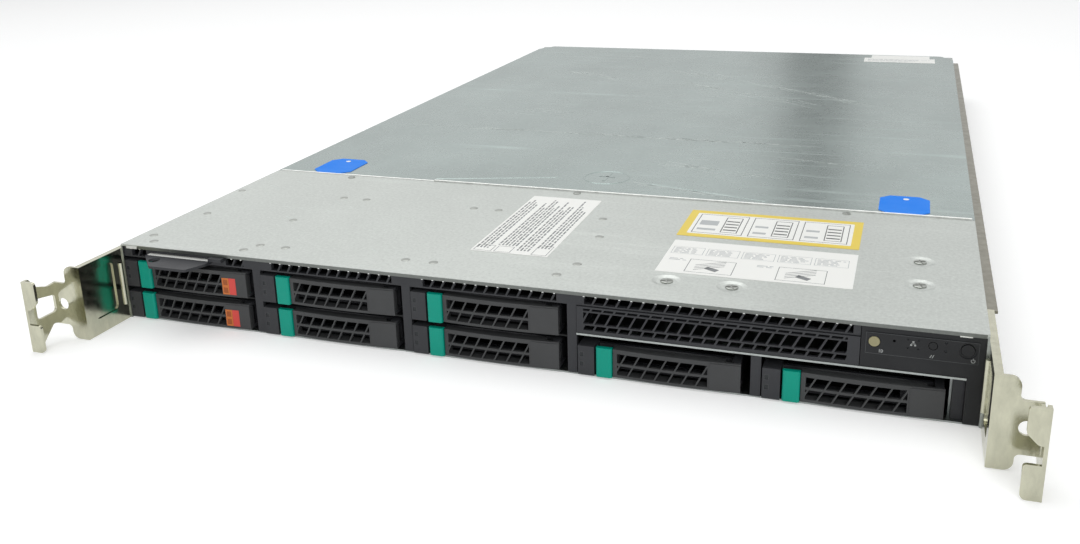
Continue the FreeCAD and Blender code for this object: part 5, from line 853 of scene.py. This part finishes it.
# start and end of each group, its spread, how many, and the longest
COVER_RUBS = (
    ((-188, 306), (113, 303), 2.0, 60, 46), ((-31, 578), (157, 450), 10.0, 46, 60),
    ((-5, 515), (105, 443), 8.0, 26, 50), ((34, 233), (102, 218), 6.0, 22, 36),
    ((30, 182), (93, 166), 4.0, 20, 36), ((87, 269), (143, 259), 3.0, 10, 24),
    ((-132, 560), (-65, 514), 8.0, 18, 40), ((-150, 380), (-90, 372), 22.0, 20, 34))
PANEL_RUBS = (((-200, 120), (-60, 40), 30.0, 14, 14), ((10, 60), (60, 130), 26.0, 12, 12))
for name, groups, body, slot in (("cover_scratches", COVER_RUBS, "cover", "cover_steel"),
                                 ("panel_scratches", PANEL_RUBS, "chassis", "panel_steel")):
    rubbed = bmesh.new()
    for group in groups:
        scratches(rubbed, *group)
    finish_piece(rubbed, name, "rubbed sheet", body)

rib("pressed_rib_left", (-106, 164), (-29, 186), 5.0, 0.22)
rib("pressed_rib_right", (31.5, 186), (106, 166), 5.0, 0.22)

# a pressed ring with a cross in it, near the front of the cover
RING_MM, RING_LINE_MM, RING_SIDES = 15.0, 1.1, 48
mark = bmesh.new()
inner, outer = mm(RING_MM - RING_LINE_MM), mm(RING_MM)
place = Matrix.Translation((mm(1.2), from_front(192), TOP))
rows = [[mark.verts.new(place @ Vector((radius * math.cos(t), radius * math.sin(t), height)))
         for t in (2 * math.pi * side / RING_SIDES for side in range(RING_SIDES))]
        for radius, height in ((outer, 0), (outer - mm(0.2), mm(0.22)),
                               (inner + mm(0.2), mm(0.22)), (inner, 0))]
close_rows(mark, rows + [rows[0]])
add_box(mark, (mm(0.2), from_front(184), TOP), (mm(2.2), from_front(203), TOP + mm(0.12)))
add_box(mark, (mm(-4.0), from_front(193), TOP), (mm(6.4), from_front(194.4), TOP + mm(0.12)))
finish_piece(mark, "pressed_mark", "cover sheet", "cover")

# a small pale moulding mark in each touch pad
dots = bmesh.new()
pad_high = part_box("cover_touch_pads")[1]
for side in (-1, 1):
    place = Matrix.Translation((side * (pad_high.x - mm(13)), from_front(187.5), pad_high.z))
    turned(dots, place, [(mm(1.7), 0), (mm(1.7), mm(0.05))], 20)
finish_piece(dots, "pad_marks", "white film", "cover")


# ------------------------------------------------------------------ sockets and supply at the rear

def rear_box(mesh, x, depth, z):
    """A box in millimetres whose depths are measured forward from the rear plane."""
    add_box(mesh, (mm(x[0]), REAR - mm(depth[0]), mm(z[0])),
            (mm(x[1]), REAR - mm(depth[1]), mm(z[1])))


def rear_disc(mesh, x, depth, z, radius, length, sides=16, share=1.0):
    """A disc or pin that stands towards the rear from a depth before the rear plane."""
    place = Matrix.Translation((mm(x), REAR - mm(depth), mm(z))) @ Matrix.Rotation(
        -math.pi / 2, 4, "X")
    turned(mesh, place, [(mm(radius), 0), (mm(radius), mm(length) * 0.8),
                         (mm(radius * share), mm(length))], sides)


PORT_FLOOR_MM = 7.1
inserts, contacts, nuts = bmesh.new(), bmesh.new(), bmesh.new()
green_lamps, amber_lamps, video_insert = bmesh.new(), bmesh.new(), bmesh.new()
# network sockets: a liner, two lights below the opening and eight contacts above
for left in (-120.2, -103.2):
    right, low, high = left + 11.8, PORT_FLOOR_MM, PORT_FLOOR_MM + 8.2
    rear_box(inserts, (left, left + 0.5), (12.0, 0.0), (low, high))
    rear_box(inserts, (right - 0.5, right), (12.0, 0.0), (low, high))
    rear_box(inserts, (left, right), (12.0, 0.0), (high - 0.5, high))
    rear_box(inserts, (left, right), (12.0, 10.5), (low, high))
    for side, lamp in ((left + 0.5, green_lamps), (right - 3.0, amber_lamps)):
        rear_box(inserts, (side, side + 2.5), (10.5, 0.3), (low, low + 1.5))
        rear_box(lamp, (side + 0.35, side + 2.15), (1.0, 0.1), (low + 0.25, low + 1.3))
    for wire in range(8):
        spot = left + 2.25 + 1.02 * wire
        rear_box(contacts, (spot, spot + 0.35), (10.5, 3.5), (high - 2.6, high - 2.3))
# small data sockets: a tongue with four contacts under it
for left in (-78.2, -60.2):
    low = PORT_FLOOR_MM
    rear_box(inserts, (left, left + 12.6), (12.0, 10.8), (low, low + 5.2))
    rear_box(inserts, (left + 0.7, left + 11.9), (10.8, 0.8), (low + 2.6, low + 4.4))
    for wire in range(4):
        spot = left + 2.0 + 2.5 * wire
        rear_box(contacts, (spot, spot + 1.1), (10.0, 1.6), (low + 2.5, low + 2.6))
# video and serial sockets: a slanted body between two hexagonal nuts
VIDEO_LEFT_MM, SERIAL_LEFT_MM = -36.2, -10.2
for left, insert in ((VIDEO_LEFT_MM, video_insert), (SERIAL_LEFT_MM, inserts)):
    low = PORT_FLOOR_MM
    rear_box(inserts, (left, left + 16.4), (12.0, 10.6), (low, low + 7.8))
    depth = 0.2 if insert is video_insert else 6.0
    corners = [(left + 0.9, low + 7.1), (left + 15.5, low + 7.1), (left + 14.4, low + 0.7),
               (left + 2.0, low + 0.7)]
    rows = [[insert.verts.new((mm(x), REAR - mm(d), mm(z))) for x, z in corners]
            for d in (10.6, depth)]
    close_rows(insert, rows)
    insert.faces.new(list(reversed(rows[0])))
    insert.faces.new(rows[1])
    for nut in (left - 3.4, left + 19.8):
        rear_disc(nuts, nut, 0.0, low + 3.9, 2.3, 4.0, 6, 0.86)
# three rows of five holes in the video socket, five and four pins in the serial socket
for row, start in enumerate((3.7, 4.6, 3.7)):
    for pin in range(5):
        rear_disc(contacts, VIDEO_LEFT_MM + start + 2.1 * pin, 0.24,
                  PORT_FLOOR_MM + 5.7 - 1.8 * row, 0.42, 0.1, 10)
for row, (count, start) in enumerate(((5, 3.4), (4, 4.6))):
    for pin in range(count):
        rear_disc(contacts, SERIAL_LEFT_MM + start + 2.4 * pin, 6.0,
                  PORT_FLOOR_MM + 5.1 - 2.4 * row, 0.45, 4.6, 10, 0.5)
for mesh, name, finish in ((inserts, "port_inserts", "black pbt"),
                           (video_insert, "video_port_insert", "blue pbt"),
                           (contacts, "port_contacts", "gold flash"),
                           (nuts, "port_screw_nuts", "screw steel"),
                           (green_lamps, "port_lights_green", "green lens"),
                           (amber_lamps, "port_lights_amber", "amber lens")):
    finish_piece(mesh, name, finish, "chassis")

SUPPLY_LEFT_MM, SUPPLY_LOW_MM, SUPPLY_BACK_MM = 133.7, 1.05, -1.5

# mains inlet: four thin liner walls, a flange round them and a floor
WALL_MM = 0.3
liner = bmesh.new()
left, right, low, high = 179.3, 203.7, SUPPLY_LOW_MM + 3, SUPPLY_LOW_MM + 19.8
for flange, depths in ((0.0, (15.4, SUPPLY_BACK_MM)),
                       (1.2, (SUPPLY_BACK_MM, SUPPLY_BACK_MM - 0.6))):
    for x, z in (((left - flange, left + WALL_MM), (low - flange, high + flange)),
                 ((right - WALL_MM, right + flange), (low - flange, high + flange)),
                 ((left, right), (low - flange, low + WALL_MM)),
                 ((left, right), (high - WALL_MM, high + flange))):
        rear_box(liner, x, depths, z)
rear_box(liner, (left, right), (15.6, 15.2), (low, high))
finish_piece(liner, "mains_inlet_liner", "black pbt", "supply")

# nine swept blades behind the fan guard, before a dark disc
blades = bmesh.new()
fan = (SUPPLY_LEFT_MM + 27.0, SUPPLY_LOW_MM + 19.5)
rear_disc(blades, fan[0], SUPPLY_BACK_MM + 2.48, fan[1], 15.2, 0.1, 40)
for blade in range(9):
    angle = 2 * math.pi * blade / 9
    rows = []
    for reach, lean in ((5.2, 0.0), (10.0, 0.22), (14.8, 0.5)):
        points = []
        for offset, depth in ((-0.32, 2.3), (0.32, 1.6), (0.34, 1.5), (-0.30, 2.2)):
            turn = angle + lean + offset
            points.append(blades.verts.new((mm(fan[0] + reach * math.cos(turn)),
                                            REAR - mm(SUPPLY_BACK_MM + depth),
                                            mm(fan[1] + reach * math.sin(turn)))))
        rows.append(points)
    close_rows(blades, rows)
finish_piece(blades, "supply_fan_blades", "fan abs", "supply")

lamp = bmesh.new()
rear_disc(lamp, 187.5, SUPPLY_BACK_MM, 31.0, 1.3, 0.5, 20, 0.7)
finish_piece(lamp, "supply_light", "green lens", "supply")

# a moulded sleeve round the handle's grip
sleeve = bmesh.new()
add_box(sleeve, (mm(135.9), REAR + mm(23.2), mm(8.5)), (mm(142.1), REAR + mm(27.8), mm(32.6)))
sleeve = finish_piece(sleeve, "supply_handle_sleeve", "black abs", "supply")
break_edges(sleeve, 0.9)


# ------------------------------------------------------------------ drives and boards inside

# places on a carrier, from its own lower left corner
DRIVE_LEFT_MM, DRIVE_RIGHT_MM, CASE_TOP_MM = 3.775, 73.625, 11.14
for number in CARRIERS:
    corner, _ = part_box("drive_carrier_%d" % number)
    case = bmesh.new()
    add_box(case, (corner.x + mm(DRIVE_LEFT_MM - 0.04), from_front(17.96), corner.z + mm(1.56)),
            (corner.x + mm(DRIVE_RIGHT_MM + 0.04), from_front(118.24),
             corner.z + mm(CASE_TOP_MM)))
    finish_piece(case, "drive_case_%d" % number, "drive case", "carrier_%d" % number)
    # painted shade: a near-black sheet behind the grille keeps the drive's end dark
    grille_shade = bmesh.new()
    add_box(grille_shade, (corner.x + mm(DRIVE_LEFT_MM), from_front(17.3), corner.z + mm(1.6)),
            (corner.x + mm(DRIVE_RIGHT_MM), from_front(17.96), corner.z + mm(11.1)))
    finish_piece(grille_shade, "drive_end_foam_%d" % number, "grille_shade", "carrier_%d" % number)
    paper = bmesh.new()
    base = corner.z + mm(CASE_TOP_MM)
    add_plate(paper, rectangle(corner.x + mm(13), corner.x + mm(62), from_front(34),
                               from_front(96)), base, base + mm(0.1), mm(1.0))
    finish_piece(paper, "drive_label_%d" % number, "white film", "carrier_%d" % number)
    lines = bmesh.new()
    for bar in text_rows((15.5, 59.5), (37, 93), 3.1, 1.3):
        add_box(lines, (corner.x + mm(bar[0]), from_front(bar[2]), base + mm(0.1)),
                (corner.x + mm(bar[1]), from_front(bar[3]), base + mm(0.12)))
    finish_piece(lines, "drive_label_print_%d" % number, "grey ink", "carrier_%d" % number)

# the board's upper face, each processor's distance from the middle, and Y of the memory's middle
BOARD_TOP_MM, SINK_OFFSET_MM, MEMORY_MIDDLE_MM = 6.6, 104.0, -40.0


def board_box(mesh, x, y, z):
    """A box over the main board, in millimetres of the frame."""
    add_box(mesh, (mm(x[0]), mm(y[0]), mm(z[0])), (mm(x[1]), mm(y[1]), mm(z[1])))


# four memory sockets on each side of each processor, with a catch at each end and nine chips on a
# module, in two groups
sockets, catches, chips = bmesh.new(), bmesh.new(), bmesh.new()
for side in (-1, 1):
    for bank in (-1, 1):
        for place in range(4):
            middle = side * SINK_OFFSET_MM + bank * (50.0 + 9.6 * place)
            board_box(sockets, (middle - 3.06, middle + 3.06),
                      (MEMORY_MIDDLE_MM - 70.76, MEMORY_MIDDLE_MM + 70.76),
                      (BOARD_TOP_MM, BOARD_TOP_MM + 3.06))
            for end in (-1, 1):
                edge = MEMORY_MIDDLE_MM + end * 67.3
                board_box(catches, (middle - 2.4, middle + 2.4), sorted((edge, edge + end * 3.2)),
                          (BOARD_TOP_MM + 3.0, BOARD_TOP_MM + 17.0))
            for chip in range(9):
                spot = MEMORY_MIDDLE_MM - 63.0 + 14.2 * chip + (5.0 if chip > 4 else 0.0)
                board_box(chips, (middle - 1.65, middle + 1.65), (spot, spot + 8.2), (17.5, 28.5))
finish_piece(sockets, "memory_sockets", "black pbt", "chassis")
finish_piece(catches, "memory_catches", "white pbt", "chassis")
finish_piece(chips, "memory_chips", "chip epoxy", "chassis")

# the packages and plugs of the board get a skin; x, y, width, length and height of each
SKIN_MM = 0.06
packages, white_plugs, small_parts, cans = (bmesh.new() for _ in range(4))
TAKEN_MM = []
for x, y, width, length, height, kind in (
        (-60.0, 190, 38, 38, 9, packages), (-150.0, 120, 30, 30, 3, packages),
        (20.0, 130, 24, 50, 6, packages), (150.0, 100, 20, 60, 10, white_plugs),
        (-20.0, 250, 44, 20, 5, packages), (-185.0, -128, 14, 32, 8, white_plugs),
        (180.0, -128, 14, 32, 8, white_plugs)):
    board_box(kind, (x - width / 2 - SKIN_MM, x + width / 2 + SKIN_MM),
              (y - length / 2 - SKIN_MM, y + length / 2 + SKIN_MM),
              (BOARD_TOP_MM, BOARD_TOP_MM + height + SKIN_MM))
    TAKEN_MM.append((x - width / 2 - 3, x + width / 2 + 3, y - length / 2 - 3, y + length / 2 + 3))
TAKEN_MM.append((-208, -90, 230, 390))  # the riser card's place
# small parts are scattered where nothing stands yet: how many, their sides and their height
for count, kind, low, high, height in ((90, small_parts, 2.0, 5.0, 1.2),
                                       (14, packages, 8.0, 14.0, 1.8)):
    for _ in range(count):
        for _attempt in range(20):
            width, length = random.uniform(low, high), random.uniform(low, high)
            x, y = random.uniform(-195, 40), random.uniform(48, 352)
            spread = (x - width / 2, x + width / 2, y - length / 2, y + length / 2)
            if not any(spread[0] < t[1] and spread[1] > t[0] and spread[2] < t[3]
                       and spread[3] > t[2] for t in TAKEN_MM):
                board_box(kind, spread[:2], spread[2:], (BOARD_TOP_MM, BOARD_TOP_MM + height))
                TAKEN_MM.append((spread[0] - 1, spread[1] + 1, spread[2] - 1, spread[3] + 1))
                break
# six chokes behind each processor, each with a capacitor beside it
for side in (-1, 1):
    for choke in range(6):
        middle = side * SINK_OFFSET_MM - 36.0 + 14.4 * choke
        board_box(packages, (middle - 4.2, middle + 4.2), (38.0, 46.4),
                  (BOARD_TOP_MM, BOARD_TOP_MM + 5.5))
        place = Matrix.Translation((mm(middle + 7.2), mm(42), mm(BOARD_TOP_MM)))
        turned(cans, place, [(mm(2.6), 0), (mm(2.6), mm(7.2)), (mm(2.2), mm(7.8))], 16)
finish_piece(packages, "board_packages", "chip epoxy", "chassis")
finish_piece(white_plugs, "board_plugs", "white pbt", "chassis")
finish_piece(small_parts, "board_small_parts", "tan ceramic", "chassis")
finish_piece(cans, "board_capacitors", "fins", "chassis")


# ------------------------------------------------------------------ floor, light and camera

def stage_piece(name, corners, material):
    """A flat sheet of the studio, which isn't part of the object."""
    data = bpy.data.meshes.new(name)
    data.from_pydata(corners, [], [(0, 1, 2, 3)])
    data.materials.append(material)
    item = bpy.data.objects.new(name, data)
    bpy.context.scene.collection.objects.link(item)
    return item


def looked_at(tree):
    """1 where the camera, a reflection or glass looks at it, and 0 where it only gives light."""
    path = add(tree, "LightPath")
    direct = add(tree, "Math", [path.outputs["Is Camera Ray"], path.outputs["Is Glossy Ray"]],
                 operation="MAXIMUM")
    return add(tree, "Math", [direct, path.outputs["Is Transmission Ray"]], operation="MAXIMUM")


def floor_paint():
    """Matt white paint. To the camera and to reflections it shows near white, and keeps shadows."""
    material, tree = empty_material("matt white floor paint")
    lift = add(tree, "Math", [looked_at(tree), 0.34], operation="MULTIPLY")
    add(tree, "OutputMaterial", [add(tree, "BsdfPrincipled", {
        "Base Color": srgb("#E6E7E7"), "Roughness": 0.9, "Emission Color": (1, 1, 1, 1),
        "Emission Strength": lift})])
    return material


def studio_card(name, left, right, y, low, high, tone):
    """An upright grey card that only reflections see, as studios stand one behind shiny metal."""
    material, tree = empty_material(name + " paper")
    add(tree, "OutputMaterial", [add(tree, "Emission", {"Color": srgb(tone)})])
    item = stage_piece(name, [(left, y, low), (right, y, low), (right, y, high), (left, y, high)],
                       material)
    item.visible_camera = False
    item.visible_diffuse = False
    item.visible_shadow = False


WIDE = 12.0
stage_piece("floor", [(-WIDE, -WIDE, 0), (WIDE, -WIDE, 0), (WIDE, WIDE, 0), (-WIDE, WIDE, 0)],
            floor_paint())
# a tall dark card behind the object draws the soft dark band along the cover
studio_card("dark card behind", -0.28, -0.04, 3.4, 0.02, 2.6, "#9A9C9C")
# a low grey card makes the far end of the cover a shade darker than the near end
studio_card("low card behind", -4.0, 4.0, 3.6, 0.02, 0.75, "#D2D4D4")
# the room in front is a shade darker than the walls, and the cover mirrors it to the rear
studio_card("room behind the camera", -4.0, 4.0, -3.2, 0.5, 3.2, "#D4D6D6")

# white walls to the camera and in reflections, dimmer as a light
world = bpy.data.worlds.new("studio")
bpy.context.scene.world = world
world.use_nodes = True
sky = world.node_tree
sky.nodes.clear()
level = add(sky, "MapRange", {"Value": looked_at(sky), "To Min": 0.34, "To Max": 1.0})
add(sky, "OutputWorld", [add(sky, "Background", {"Color": (1, 1, 1, 1), "Strength": level})])


def soft_box(name, place, target, size, watts):
    data = bpy.data.lights.new(name, "AREA")
    data.shape = "RECTANGLE"
    data.size, data.size_y = size
    data.energy = watts
    item = bpy.data.objects.new(name, data)
    bpy.context.scene.collection.objects.link(item)
    item.location = place
    item.rotation_euler = (Vector(target) - Vector(place)).to_track_quat("-Z", "Y").to_euler()
    return item


soft_box("overhead soft box", (-0.4, 0.1, 2.2), (0, 0, 0), (2.4, 2.4), 32)
front_lamp = soft_box("front soft box", (0.9, -2.0, 1.1), (0, -0.3, 0.02), (1.6, 1.0), 16)
front_lamp.visible_glossy = False  # no glare on the cover when it is seen from the rear

camera_data = bpy.data.cameras.new("camera")
camera = bpy.data.objects.new("camera", camera_data)
bpy.context.scene.collection.objects.link(camera)
bpy.context.scene.camera = camera
AZIMUTH, ELEVATION, ROLL = (math.radians(angle) for angle in (19.68, 17.08, -1.56))
CAMERA_X_MM, CAMERA_BEFORE_FRONT_MM, CAMERA_HEIGHT_MM = 180.1, 436.5, 226.8
camera_data.sensor_width = 36.0
camera_data.lens = 35.24
camera_data.shift_y = -0.063
camera_data.clip_start = 0.01
back = Vector((math.sin(AZIMUTH) * math.cos(ELEVATION), -math.cos(AZIMUTH) * math.cos(ELEVATION),
               math.sin(ELEVATION)))
right = (-back).cross(Vector((0, 0, 1))).normalized()
up = right.cross(-back)
rolled_right = right * math.cos(ROLL) + up * math.sin(ROLL)
rolled_up = up * math.cos(ROLL) - right * math.sin(ROLL)
camera.matrix_world = Matrix.Translation(
    (mm(CAMERA_X_MM), FRONT - mm(CAMERA_BEFORE_FRONT_MM), mm(CAMERA_HEIGHT_MM))) @ Matrix(
        (rolled_right, rolled_up, back)).transposed().to_4x4()

bpy.context.scene.view_settings.view_transform = "Standard"
